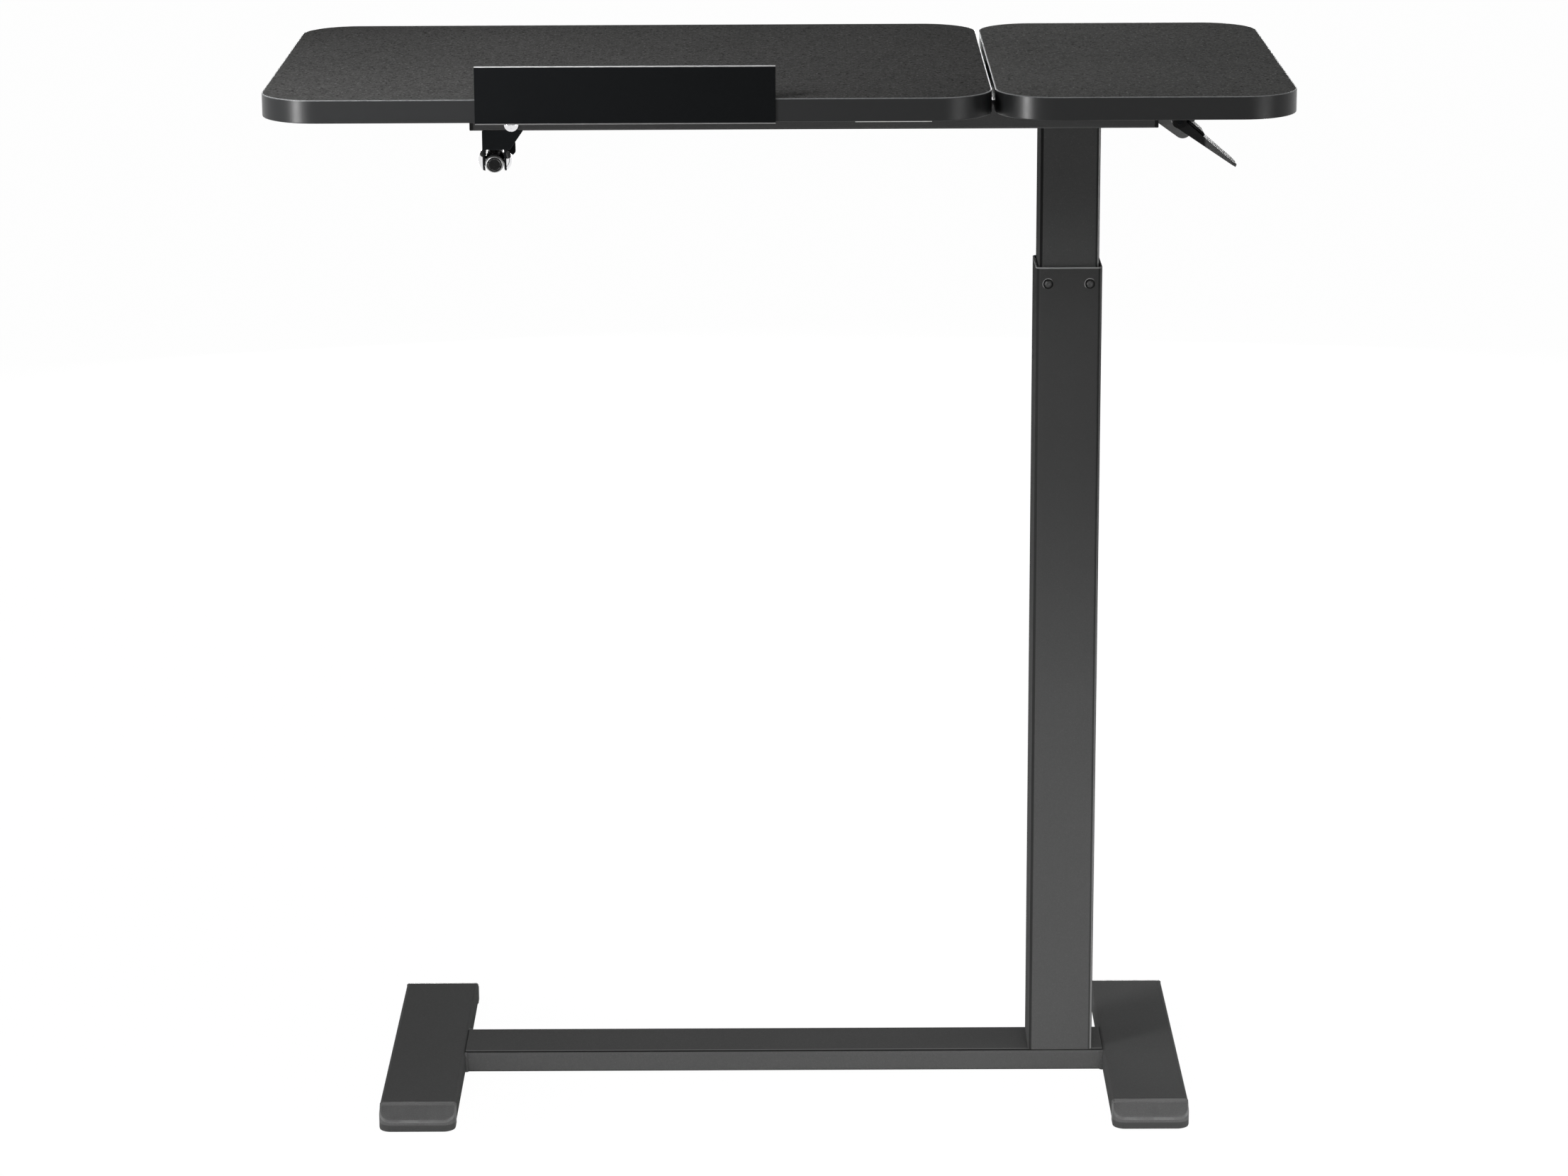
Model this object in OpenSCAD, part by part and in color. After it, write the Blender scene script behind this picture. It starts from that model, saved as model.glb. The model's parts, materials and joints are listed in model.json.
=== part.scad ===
// Laptop table on a gas-lift column: a fixed side board, a tilting main board and an H-shaped base.
// X runs to the right, Y away from the user, Z up. The origin is on the floor, under the middle
// of the whole table.

/* [Top] */
// Width of the two boards together
top_w = 800; // [760:1:900]
// Depth of the boards
top_d = 400; // [380:1:480]
// Thickness of the boards
board_t = 18; // [15:0.5:25]
// Radius of the boards' corners
corner_r = 45; // [20:1:60]
// Width of the fixed side board
side_w = 233; // [225:1:240]
// Gap between the two boards
seam = 2.6; // [1:0.1:5]
// Height of the writing surface
top_h = 860; // [840:1:880]
// Thickness of the edge band
band_t = 1; // [0.5:0.1:2]

/* [Laptop stop] */
// Width of the stop
stop_w = 230; // [150:1:300]
// Height of the stop above the board
stop_rise = 25.7; // [15:0.1:40]
// Thickness of the stop's sheet
stop_t = 1.5; // [1:0.1:2]
// Depth of the flange under the board
stop_flange = 22; // [18:1:30]

/* [Under-frame] */
// Side of the square rails
rail_s = 20; // [18:0.5:25]
// Wall of the rails
rail_wall = 1.2; // [1:0.1:2]
// Distance of the rails' left end from the table's left edge
rail_inset_left = 157; // [140:1:160]
// Distance of the rails' right end from the table's right edge
rail_inset_right = 103; // [98:1:110]
// Distance between the rails' centre lines
rail_spacing = 210; // [200:1:230]
// Distance of the left cross tube from the rails' left end
cross_inset = 38; // [37:0.5:43]
// Thickness of the rail caps' rims
rail_cap_t = 3; // [2:0.5:5]
// Radius of the rail screws' heads
rail_screw_r = 6.9; // [5:0.1:7]

/* [Column] */
// Distance of the column's middle from the rails' right end
column_inset = 63; // [61:0.5:67]
// Side of the outer tube
outer_s = 54; // [53.5:0.1:56]
// Wall of the outer tube
outer_wall = 1.5; // [1.2:0.1:1.7]
// Side of the inner tube
inner_s = 49; // [47:0.1:49.2]
// Wall of the inner tube
inner_wall = 1.8; // [1.2:0.1:3]
// Height of the outer tube's rim
outer_top = 694; // [660:1:694]
// Length of the inner tube
inner_l = 560; // [500:1:600]
// Distance between the two buttons of the upper glide
button_gap = 33.9; // [28:0.1:36]
// Distance of the buttons below the rim
button_drop = 13.6; // [10:0.1:20]
// Radius of the buttons
button_r = 3; // [2:0.1:3.5]

/* [Base] */
// Width of the feet
foot_w = 63; // [55:1:68]
// Height of the feet's tubes
foot_h = 18; // [16:0.5:25]
// Length of the feet's tubes
foot_l = 283; // [240:1:340]
// Distance of each foot's centre from the table's side edge
foot_inset = 98.5; // [70:0.5:102]
// Length of the end caps
cap_l = 18.5; // [15:0.5:30]
// Height of the end caps' front face
cap_nose = 9.5; // [6:0.5:12]
// Depth of the crossbar
crossbar_d = 58; // [56:1:70]
// Wall of the base's tubes
base_wall = 1.5; // [1.2:0.1:2.5]
// Thickness of the rubber pads
pad_t = 2; // [1.5:0.1:4]

/* [Gas spring] */
// Radius of the cylinder
cylinder_r = 14; // [11:0.5:18]
// Length of the cylinder
cylinder_l = 500; // [460:1:540]
// Radius of the rod
rod_r = 5; // [4.5:0.1:6]
// Length of the rod
rod_l = 600; // [570:1:620]

/* [Tilt] */
// Length of each hinge
hinge_l = 60; // [50:1:80]
// Radius of the hinge barrels
barrel_r = 2.7; // [2.4:0.1:3]
// Distance of the stay's middle line from the rails' left end
stay_inset = 18.8; // [18:0.1:19.1]
// Radius of the stay's tube
stay_r = 7.2; // [6:0.1:7.4]
// Length of the stay's tube behind its pivot
stay_tube_l = 100; // [80:1:105]
// Radius of the chrome caps on the stay's bolt
dome_r = 8.7; // [6:0.1:8.8]

/* [Release lever] */
// Width of the lever
lever_w = 32; // [24:1:36]
// Length of the lever from its pivot to its tip
lever_l = 59.4; // [50:0.1:64]
// Slope of the lever below level
lever_slope = 34; // [30:1:38]
// Distance of the link's pins from the pivots
crank = 7; // [6.6:0.1:7.2]

/* [Hidden] */
$fn = 64;

// Clearances: around fixed fasteners and in running fits, and between parts that pass each other
fit = 0.05;
gap = 0.3;
// Past the faces of what a cut goes through
over = 1;

// Colours
charcoal = [0.23, 0.235, 0.23];
band_grey = [0.26, 0.265, 0.265];
paint = [0.2, 0.2, 0.2];
frame_paint = [0.3, 0.3, 0.305];
black = [0.09, 0.095, 0.1];
plastic = [0.27, 0.27, 0.28];
chrome = [0.85, 0.86, 0.87];
zinc = [0.66, 0.67, 0.68];
rubber = [0.07, 0.07, 0.07];
nylon = [0.14, 0.14, 0.15];

// Boards: the stop stands in front of them, and the table's whole depth is centred
board_z = top_h - board_t;
board_front = -(top_d + stop_t) / 2 + stop_t;
board_mid_y = board_front + top_d / 2;
seam_x = top_w / 2 - side_w;
main_right = seam_x - seam;
main_w = main_right + top_w / 2;
main_mid_x = (main_right - top_w / 2) / 2;
side_mid_x = (seam_x + top_w / 2) / 2;
pilot_l = board_t * 0.6;

// Screws into the boards and rails
wood_screw_r = 2;
wood_head_r = 4;
wood_head_t = 1.8;
leaf_screw_r = 1.5;
leaf_head_r = 3;
leaf_head_t = 1.6;
stop_screw_y = board_front + stop_flange * 0.6;
stop_screw_step = stop_w * 0.37;

// Rails
rail_z = board_z - rail_s;
rail_left = -top_w / 2 + rail_inset_left;
rail_right = top_w / 2 - rail_inset_right;
cross_x = rail_left + cross_inset;
column_x = rail_right - column_inset;
rail_y = rail_spacing / 2;
rail_front = -rail_y - rail_s / 2;
rail_inner = rail_y - rail_s / 2;
rail_edge_r = 1.8;
rail_screw_x = cross_x - 5.1;
rail_screw_z = rail_z + 5.2;
rail_screw_shaft = 3;
rail_screw_l = rail_s + 8;
rail_head_t = 3.5;
access_r = 5;
plug_l = 10;
side_screw_xs = [seam_x + 13, rail_right - rail_cap_t - plug_l - wood_head_r - 1];

// Column and its head
column_r = 4;
plate_t = 3;
head_z = rail_z - plate_t;
head_w = 90;
inner_z = head_z - inner_l;
head_bolt_x = 36;
head_bolt_y = 36;
bolt_r = 3;
bolt_head_r = 5.5;
bolt_head_t = 3.6;
glide_l = 38;
glide_lip = 3;
glide_side = outer_s - 2 * outer_wall;
button_z = outer_top - button_drop;
button_proud = 0.8;
button_hole_r = button_r + 1;

// Base
foot_z = pad_t;
deck_z = foot_z + foot_h;
foot_edge_r = 3;
foot_x = top_w / 2 - foot_inset;
crossbar_l = 2 * (foot_x - foot_w / 2);
base_plate_t = 4;
base_bolt_in = 15;
cap_floor = 0.5;
cap_corner_r = 10;
cap_chamfer = 2.5;
cap_drop = 1.2;
pad_w = 40;
pad_l = 16;
pad_in = 26;

// Gas spring
cylinder_wall = 1.5;
cylinder_end = 8;
nut_r = 9;
nut_t = 6;
cylinder_z = deck_z + base_plate_t + nut_t;
piston_t = 12;
rod_top = rail_z + plate_t - 0.6;
rod_z = rod_top - rod_l;
pin_r = 2.5;

// Board hinges: the axis lies in front of the front rail, just under the board
axis_z = board_z - barrel_r - gap;
axis_y = rail_front - barrel_r - gap;
leaf_t = 1.5;
hinge_xs = [cross_x + 55, main_right - 75];
hinge_pin_r = 1.5;
knuckles = 5;
knuckle_l = hinge_l / knuckles;
leaf_low = rail_z + 6;
leaf_reach = 32;
leaf_screw_x = hinge_l / 3;

// Stay: a tube that swings on the bracket under the front rail, and a rod that slides out of it
stay_x = rail_left + stay_inset;
stay_y = -rail_y + 5;
stay_z = rail_z - 25;
eye_y = 60;
eye_z = board_z - 13;
stay_span = norm([eye_y - stay_y, eye_z - stay_z]);
stay_angle = atan2(eye_z - stay_z, eye_y - stay_y);
stay_nose = 12;
stay_bolt_r = 3;
stay_rod_r = 4;
stay_bore_start = 14;
stay_bore_r = stay_rod_r + 2 * fit;
gland_l = 12;
gland_r = stay_r + 0.9;
eye_r = 8.6;
eye_w = 8;
eye_play = 2.7;
cheek_t = 1.6;
cheek_in = stay_r + gap;
cheek_back = stay_y + dome_r + gap + cheek_t;
dome_h = 4.5;
web_t = 2;
web_drop = 15;
web_right = stay_x + 23.1;
web_corner = stay_x + 12.6;
upper_cheek_t = 2;
upper_cheek_in = eye_w / 2 + 1;
upper_plate_t = 1.8;
upper_plate_l = 64;

// Release: the lever turns at lever_p, the rocker at rocker_p, and the link joins their cranks
lever_p = [column_x + 88, rail_z - 11];
rocker_p = [column_x + 24, board_z - 11];
rocker_nose_r = 3;
nose_lift = 0.6;
lever_swing = 8;
pin_gap = 0.1;
pin_top = rocker_p.y + nose_lift - rocker_nose_r - pin_gap;
pin_low = rod_top - 9.4;
pivot_r = 2.5;
link_pin_r = 1.5;
link_eye_r = 3.2;
link_t = 3.8;
link_h = 5;
link_slot = link_t + 2 * gap;
ear_w = 11;
ear_r = 3;
core_r = 3.5;
rocker_hub_r = 5;
rocker_arm_w = 8;
rocker_cheek_t = 2;
rocker_cheek_r = 6;
hub_r = 6;
lever_root = 3.1;
lever_low = hub_r - 0.4;
lever_tip_t = 2;
lever_corner_r = 7;
block_from = 6;
block_to = 24;
block_h = 2.6;
lever_cheek_t = 2;
bracket_left = lever_p.x - 32;
bracket_right = lever_p.x + 24;
lobe_r = 7.5;
lobe_c = lever_p + [5.5, -11.8];

// Point where a line from p touches the circle at c, on the side given by 1 or -1
function touch(p, c, r, side) =
    let (d = norm(c - p), a = asin(r / d), way = atan2(c.y - p.y, c.x - p.x), l = sqrt(d * d - r * r))
    p + l * [cos(way + side * a), sin(way + side * a)];

// Extrudes a profile drawn in Y and Z along X
module along_x(x, l) {
    translate([x, 0, 0]) rotate([90, 0, 90]) linear_extrude(l) children();
}

// Extrudes a profile drawn in X and Z along Y
module along_y(y, l) {
    translate([0, y + l, 0]) rotate([90, 0, 0]) linear_extrude(l) children();
}

// Cylinder along X from x, with its axis at y and z
module rod_x(x, l, y, z, r) {
    translate([x, y, z]) rotate([0, 90, 0]) cylinder(h = l, r = r);
}

// Cylinder along Y from y, with its axis at x and z
module rod_y(y, l, x, z, r) {
    translate([x, y + l, z]) rotate([90, 0, 0]) cylinder(h = l, r = r);
}

// Upright cylinder from z
module post(x, y, z, l, r) {
    translate([x, y, z]) cylinder(h = l, r = r);
}

// Upright hexagon prism from z
module hexagon(x, y, z, l, r) {
    translate([x, y, z]) cylinder(h = l, r = r, $fn = 6);
}

module round_rect(w, d, r) {
    square([w - 2 * r, d], center = true);
    square([w, d - 2 * r], center = true);
    for (sx = [-1, 1], sy = [-1, 1])
        translate([sx * (w / 2 - r), sy * (d / 2 - r)]) circle(r);
}

module tube_ring(w, h, wall, r) {
    difference() {
        round_rect(w, h, r);
        round_rect(w - 2 * wall, h - 2 * wall, max(r - wall, fit));
    }
}

// Places children at the four corners of a rectangle round the column
module at_column_corners(dx, dy) {
    for (sx = [-1, 1], sy = [-1, 1]) translate([column_x + sx * dx, sy * dy, 0]) children();
}

// Base

module foot_tube(side) {
    color(frame_paint) translate([side * foot_x, 0, foot_z + foot_h / 2])
        along_y(-foot_l / 2, foot_l) tube_ring(foot_w, foot_h, base_wall, foot_edge_r);
}

module left_foot_tube() {
    foot_tube(-1);
}

module right_foot_tube() {
    foot_tube(1);
}

// Front end cap of a foot at the middle: a moulding with a sloping top and a plug in the tube
module foot_cap() {
    seat = foot_l / 2;
    tip = seat + cap_l;
    intersection() {
        along_x(-foot_w / 2, foot_w) polygon([
            [-seat, cap_floor],
            [-seat, deck_z],
            [-seat - cap_chamfer, deck_z - cap_drop],
            [-tip, cap_nose],
            [-tip, cap_floor]]);
        translate([0, -seat]) linear_extrude(deck_z) round_rect(foot_w, 2 * cap_l, cap_corner_r);
    }
    translate([0, 0, foot_z + foot_h / 2]) along_y(-seat, plug_l)
        round_rect(foot_w - 2 * (base_wall + fit), foot_h - 2 * (base_wall + fit), foot_edge_r - base_wall);
}

module foot_end_caps() {
    color(plastic) for (side = [-1, 1], end = [0, 180])
        translate([side * foot_x, 0, 0]) rotate([0, 0, end]) foot_cap();
}

module foot_pads() {
    color(rubber) for (side = [-1, 1], end = [-1, 1])
        translate([side * foot_x, end * (foot_l / 2 - pad_in), 0])
            linear_extrude(pad_t) round_rect(pad_w, pad_l, pad_l / 4);
}

module crossbar() {
    color(frame_paint) difference() {
        translate([0, 0, foot_z + foot_h / 2]) along_x(-crossbar_l / 2, crossbar_l)
            tube_ring(crossbar_d, foot_h, base_wall, foot_edge_r);
        at_column_corners(base_bolt_in, base_bolt_in) {
            post(0, 0, deck_z - base_wall - over, base_wall + 2 * over, bolt_r + fit);
            post(0, 0, foot_z - over, base_wall + 2 * over, bolt_head_r + over);
        }
    }
}

module outer_column() {
    color(frame_paint) difference() {
        translate([column_x, 0, deck_z]) linear_extrude(outer_top - deck_z)
            tube_ring(outer_s, outer_s, outer_wall, column_r);
        for (side = [-1, 1])
            rod_y(-outer_s, 2 * outer_s, column_x + side * button_gap / 2, button_z, button_hole_r);
    }
}

module column_base_plate() {
    side = outer_s - 2 * (outer_wall + fit);
    color(paint) difference() {
        translate([column_x, 0, deck_z]) linear_extrude(base_plate_t)
            round_rect(side, side, column_r - outer_wall);
        at_column_corners(base_bolt_in, base_bolt_in)
            post(0, 0, deck_z - over, base_plate_t + 2 * over, bolt_r + fit);
        post(column_x, 0, deck_z - over, base_plate_t + 2 * over, rod_r + fit);
    }
}

module column_bolts() {
    color(zinc) at_column_corners(base_bolt_in, base_bolt_in) {
        post(0, 0, deck_z - base_wall, base_wall + base_plate_t + over, bolt_r);
        hexagon(0, 0, deck_z - base_wall - bolt_head_t, bolt_head_t, bolt_head_r);
    }
}

module gas_cylinder() {
    color(black) {
        post(column_x, 0, deck_z, cylinder_z - deck_z, rod_r);
        difference() {
            post(column_x, 0, cylinder_z, cylinder_l, cylinder_r);
            post(column_x, 0, cylinder_z + cylinder_end, cylinder_l - 2 * cylinder_end,
                 cylinder_r - cylinder_wall);
            post(column_x, 0, cylinder_z + cylinder_end, cylinder_l, rod_r + fit);
        }
    }
}

module cylinder_nut() {
    color(zinc) difference() {
        hexagon(column_x, 0, cylinder_z - nut_t, nut_t, nut_r);
        post(column_x, 0, cylinder_z - nut_t - over, nut_t + 2 * over, rod_r + fit);
    }
}

// Plastic liner in the outer tube's mouth, held by buttons that snap through the tube's holes
module upper_glide() {
    outside = glide_side - 2 * fit;
    color(nylon) {
        translate([column_x, 0, outer_top - 2 - glide_l]) linear_extrude(glide_l) difference() {
            round_rect(outside, outside, column_r - outer_wall);
            round_rect(inner_s + 4 * fit, inner_s + 4 * fit, column_r + 2 * fit);
        }
        for (side = [-1, 1], face = [-1, 1])
            rod_y(face > 0 ? outside / 2 - 0.5 : -outer_s / 2 - button_proud,
                  outer_s / 2 + button_proud - outside / 2 + 0.5,
                  column_x + side * button_gap / 2, button_z, button_r);
    }
}

// Column's inner tube and head

module inner_column() {
    color(frame_paint) translate([column_x, 0, inner_z]) linear_extrude(inner_l)
        tube_ring(inner_s, inner_s, inner_wall, column_r);
}

module lower_glide() {
    outside = glide_side - 4 * fit;
    color(nylon) translate([column_x, 0, inner_z - glide_lip]) difference() {
        linear_extrude(glide_l) round_rect(outside, outside, column_r - outer_wall);
        translate([0, 0, glide_lip]) linear_extrude(glide_l)
            round_rect(inner_s + 2 * fit, inner_s + 2 * fit, column_r);
        translate([0, 0, -over]) linear_extrude(glide_l)
            round_rect(inner_s - 2 * inner_wall, inner_s - 2 * inner_wall, column_r);
    }
}

module column_top_plate() {
    color(paint) difference() {
        translate([column_x, 0, head_z]) linear_extrude(plate_t) round_rect(head_w, head_w, column_r);
        at_column_corners(head_bolt_x, head_bolt_y)
            post(0, 0, head_z - over, plate_t + 2 * over, bolt_r + fit);
        post(column_x, 0, head_z - over, plate_t + 2 * over, rod_r + fit);
    }
}

module mount_plate() {
    color(paint) difference() {
        translate([column_x - head_w / 2, -rail_inner, rail_z]) cube([head_w, 2 * rail_inner, plate_t]);
        at_column_corners(head_bolt_x, head_bolt_y)
            post(0, 0, rail_z - over, plate_t + 2 * over, bolt_r + fit);
        post(column_x, 0, rail_z - over, plate_t + 2 * over, rod_r + fit);
    }
}

module mount_bolts() {
    color(zinc) at_column_corners(head_bolt_x, head_bolt_y) {
        hexagon(0, 0, head_z - bolt_head_t, bolt_head_t, bolt_head_r);
        post(0, 0, head_z, 2 * plate_t + bolt_head_t + over, bolt_r);
    }
}

module mount_nuts() {
    color(zinc) at_column_corners(head_bolt_x, head_bolt_y) difference() {
        hexagon(0, 0, rail_z + plate_t, bolt_head_t, bolt_head_r);
        post(0, 0, rail_z, plate_t + bolt_head_t + over, bolt_r + fit);
    }
}

module gas_rod() {
    color(chrome) difference() {
        post(column_x, 0, rod_z, rod_l, rod_r);
        post(column_x, 0, pin_low - 7, rod_top - pin_low + 7 + over, pin_r + fit);
    }
}

module gas_piston() {
    color(nylon) post(column_x, 0, rod_z - piston_t, piston_t, cylinder_r - cylinder_wall - fit);
}

module rod_nut() {
    color(zinc) difference() {
        hexagon(column_x, 0, head_z - nut_t, nut_t, nut_r);
        post(column_x, 0, head_z - nut_t - over, nut_t + 2 * over, rod_r + fit);
    }
}

// Rails under the boards

module rail(y) {
    metal_left = rail_left + rail_cap_t;
    metal_right = rail_right - rail_cap_t;
    translate([0, y, rail_z + rail_s / 2]) along_x(metal_left, metal_right - metal_left)
        tube_ring(rail_s, rail_s, rail_wall, rail_edge_r);
}

// Holes for the side board's screws, and the wider ones below that let the driver in
module side_screw_holes(y) {
    for (x = side_screw_xs) {
        post(x, y, board_z - rail_wall - over, rail_wall + 2 * over, wood_screw_r + fit);
        post(x, y, rail_z - over, rail_wall + 2 * over, access_r);
    }
}

module rail_screw_hole(side) {
    rod_y(side * rail_y - rail_s, 2 * rail_s, rail_screw_x, rail_screw_z, rail_screw_shaft + fit);
}

module front_rail() {
    color(paint) difference() {
        rail(-rail_y);
        side_screw_holes(-rail_y);
        rail_screw_hole(-1);
        for (x = hinge_xs, side = [-1, 1])
            rod_y(rail_front - over, rail_wall + 2 * over, x + side * leaf_screw_x,
                  leaf_low + leaf_head_r + 0.5, leaf_screw_r + fit);
    }
}

module rear_rail() {
    color(paint) difference() {
        rail(rail_y);
        side_screw_holes(rail_y);
        rail_screw_hole(1);
    }
}

module left_cross_tube() {
    color(paint) translate([cross_x, 0, rail_z + rail_s / 2]) along_y(-rail_inner, 2 * rail_inner)
        tube_ring(rail_s, rail_s, rail_wall, rail_edge_r);
}

module rail_end_caps() {
    plug = rail_s - 2 * (rail_wall + fit);
    color(black) for (y = [-rail_y, rail_y], end = [0, 1])
        translate([0, y, rail_z + rail_s / 2]) {
            along_x(end ? rail_right - rail_cap_t : rail_left, rail_cap_t)
                round_rect(rail_s, rail_s, rail_edge_r);
            along_x(end ? rail_right - rail_cap_t - plug_l : rail_left + rail_cap_t, plug_l)
                round_rect(plug, plug, rail_edge_r / 2);
        }
}

// Pan-head screws through the rails, each with its head on the rail's outer face
module rail_screws() {
    color(chrome) for (side = [-1, 1]) rotate([0, 0, side > 0 ? 180 : 0])
        translate([side > 0 ? -rail_screw_x : rail_screw_x, rail_front, rail_screw_z]) rotate([90, 0, 0]) {
            intersection() {
                cylinder(h = rail_head_t, r = rail_screw_r);
                translate([0, 0, -rail_screw_r * 0.8]) sphere(r = rail_screw_r * 1.3);
            }
            translate([0, 0, -rail_screw_l]) cylinder(h = rail_screw_l, r = rail_screw_shaft);
        }
}

// Boards

module board_plate(x, w) {
    translate([x, board_mid_y, board_z]) linear_extrude(board_t)
        round_rect(w - 2 * band_t, top_d - 2 * band_t, corner_r - band_t);
}

module board_band(x, w) {
    translate([x, board_mid_y, board_z]) linear_extrude(board_t) tube_ring(w, top_d, band_t, corner_r);
}

// Pilot hole in a board's underside
module pilot(x, y, r) {
    post(x, y, board_z - over, pilot_l + over, r + fit);
}

// Screw that stands in a board's underside, through a sheet of thickness t
module board_screw(x, y, t, shaft, head, head_t) {
    post(x, y, board_z - t, t + pilot_l - over, shaft);
    post(x, y, board_z - t - head_t, head_t, head);
}

module side_board() {
    color(charcoal) difference() {
        board_plate(side_mid_x, side_w);
        for (x = side_screw_xs, y = [-rail_y, rail_y]) pilot(x, y, wood_screw_r);
        for (p = lever_screw_places()) pilot(p.x, p.y, leaf_screw_r);
    }
}

module side_edge_band() {
    color(band_grey) board_band(side_mid_x, side_w);
}

module side_board_screws() {
    color(zinc) for (x = side_screw_xs, y = [-rail_y, rail_y])
        board_screw(x, y, rail_wall, wood_screw_r, wood_head_r, wood_head_t);
}

module main_board() {
    color(charcoal) difference() {
        board_plate(main_mid_x, main_w);
        for (p = leaf_screw_places()) pilot(p.x, p.y, leaf_screw_r);
        for (i = [-1:1]) pilot(main_mid_x + i * stop_screw_step, stop_screw_y, leaf_screw_r);
        for (p = upper_screw_places()) pilot(p.x, p.y, leaf_screw_r);
    }
}

module main_edge_band() {
    color(band_grey) board_band(main_mid_x, main_w);
}

// Laptop stop: a folded sheet in front of the main board, screwed under it
module laptop_stop() {
    color(black) difference() {
        translate([main_mid_x - stop_w / 2, 0, 0]) along_x(0, stop_w) polygon([
            [board_front - stop_t, board_z - stop_t],
            [board_front - stop_t, top_h + stop_rise],
            [board_front, top_h + stop_rise],
            [board_front, board_z],
            [board_front + stop_flange, board_z],
            [board_front + stop_flange, board_z - stop_t]]);
        for (i = [-1:1])
            post(main_mid_x + i * stop_screw_step, stop_screw_y, board_z - stop_t - over,
                 stop_t + 2 * over, leaf_screw_r + fit);
    }
}

module stop_screws() {
    color(zinc) for (i = [-1:1])
        board_screw(main_mid_x + i * stop_screw_step, stop_screw_y, stop_t, leaf_screw_r, leaf_head_r,
                    leaf_head_t);
}

// Board hinges

function leaf_screw_places() =
    [for (x = hinge_xs, side = [-1, 1]) [x + side * leaf_screw_x, axis_y - leaf_reach * 0.7]];

// Knuckle i of the hinge at x: the even ones belong to the rail, the odd ones to the board
module knuckle(x, i) {
    rod_x(x - hinge_l / 2 + i * knuckle_l + gap / 2, knuckle_l - gap, axis_y, axis_z, barrel_r);
}

// Room in a leaf for a knuckle of the other leaf
module knuckle_room(x, i) {
    translate([x - hinge_l / 2 + i * knuckle_l - gap / 2, axis_y - barrel_r - gap, axis_z - barrel_r - gap])
        cube([knuckle_l + gap, 2 * (barrel_r + gap), 2 * (barrel_r + gap) + over]);
}

module hinge_fixed_leaves() {
    color(zinc) for (x = hinge_xs) difference() {
        union() {
            difference() {
                translate([x - hinge_l / 2, rail_front - leaf_t, leaf_low])
                    cube([hinge_l, leaf_t, axis_z - leaf_low]);
                for (i = [1:2:knuckles - 1]) knuckle_room(x, i);
            }
            for (i = [0:2:knuckles - 1]) knuckle(x, i);
        }
        rod_x(x - hinge_l, 2 * hinge_l, axis_y, axis_z, hinge_pin_r + fit);
        for (side = [-1, 1])
            rod_y(rail_front - leaf_t - over, leaf_t + 2 * over, x + side * leaf_screw_x,
                  leaf_low + leaf_head_r + 0.5, leaf_screw_r + fit);
    }
}

module hinge_moving_leaves() {
    color(zinc) for (x = hinge_xs) difference() {
        union() {
            difference() {
                translate([x - hinge_l / 2, axis_y - leaf_reach, board_z - leaf_t])
                    cube([hinge_l, leaf_reach, leaf_t]);
                for (i = [0:2:knuckles - 1]) knuckle_room(x, i);
            }
            for (i = [1:2:knuckles - 1]) knuckle(x, i);
        }
        rod_x(x - hinge_l, 2 * hinge_l, axis_y, axis_z, hinge_pin_r + fit);
        for (p = leaf_screw_places())
            post(p.x, p.y, board_z - leaf_t - over, leaf_t + 2 * over, leaf_screw_r + fit);
    }
}

module hinge_pins() {
    color(zinc) for (x = hinge_xs) rod_x(x - hinge_l / 2, hinge_l, axis_y, axis_z, hinge_pin_r);
}

module fixed_leaf_screws() {
    color(zinc) for (x = hinge_xs, side = [-1, 1]) {
        rod_y(rail_front - leaf_t, leaf_t + rail_wall + over, x + side * leaf_screw_x,
              leaf_low + leaf_head_r + 0.5, leaf_screw_r);
        rod_y(rail_front - leaf_t - leaf_head_t, leaf_head_t, x + side * leaf_screw_x,
              leaf_low + leaf_head_r + 0.5, leaf_head_r);
    }
}

module moving_leaf_screws() {
    color(zinc) for (p = leaf_screw_places())
        board_screw(p.x, p.y, leaf_t, leaf_screw_r, leaf_head_r, leaf_head_t);
}

// Stay

// Bracket under the front rail: a web in line with the rail's face, a top and two round-ended cheeks
module stay_bracket() {
    cheek_out = cheek_in + cheek_t;
    low = rail_z - web_drop;
    color(black) difference() {
        union() {
            along_y(rail_front, web_t) polygon([
                [stay_x - cheek_out, rail_z],
                [web_right, rail_z],
                [web_corner, low],
                [stay_x - cheek_out, low]]);
            translate([stay_x - cheek_out, rail_front, rail_z - web_t])
                cube([web_corner - stay_x + cheek_out, rail_s, web_t]);
            for (x = [stay_x - cheek_out, stay_x + cheek_in]) {
                along_x(x, cheek_t) translate([stay_y, stay_z]) circle(dome_r + 0.1);
                along_x(x, cheek_t) polygon([
                    [rail_front, rail_z],
                    [rail_front, low],
                    [stay_y - dome_r, low],
                    [stay_y - dome_r, stay_z],
                    [stay_y + dome_r, stay_z],
                    [cheek_back, stay_z + 1],
                    [cheek_back, rail_z - web_t],
                    [rail_front + rail_s, rail_z]]);
            }
            rear_ear();
        }
        rod_x(stay_x - 2 * cheek_out, 4 * cheek_out, stay_y, stay_z, stay_bolt_r + fit);
    }
}

// Round ear that is folded out of the right cheek's rear edge
module rear_ear() {
    ear_h = 14;
    ear_out = 6.6;
    right = stay_x + cheek_in + cheek_t;
    along_y(cheek_back - cheek_t, cheek_t) translate([right - over, stay_z + 1])
        intersection() {
            square([ear_out + over, ear_h]);
            translate([over, ear_h / 2]) circle(ear_h / 2 + 0.5);
        }
}

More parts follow.
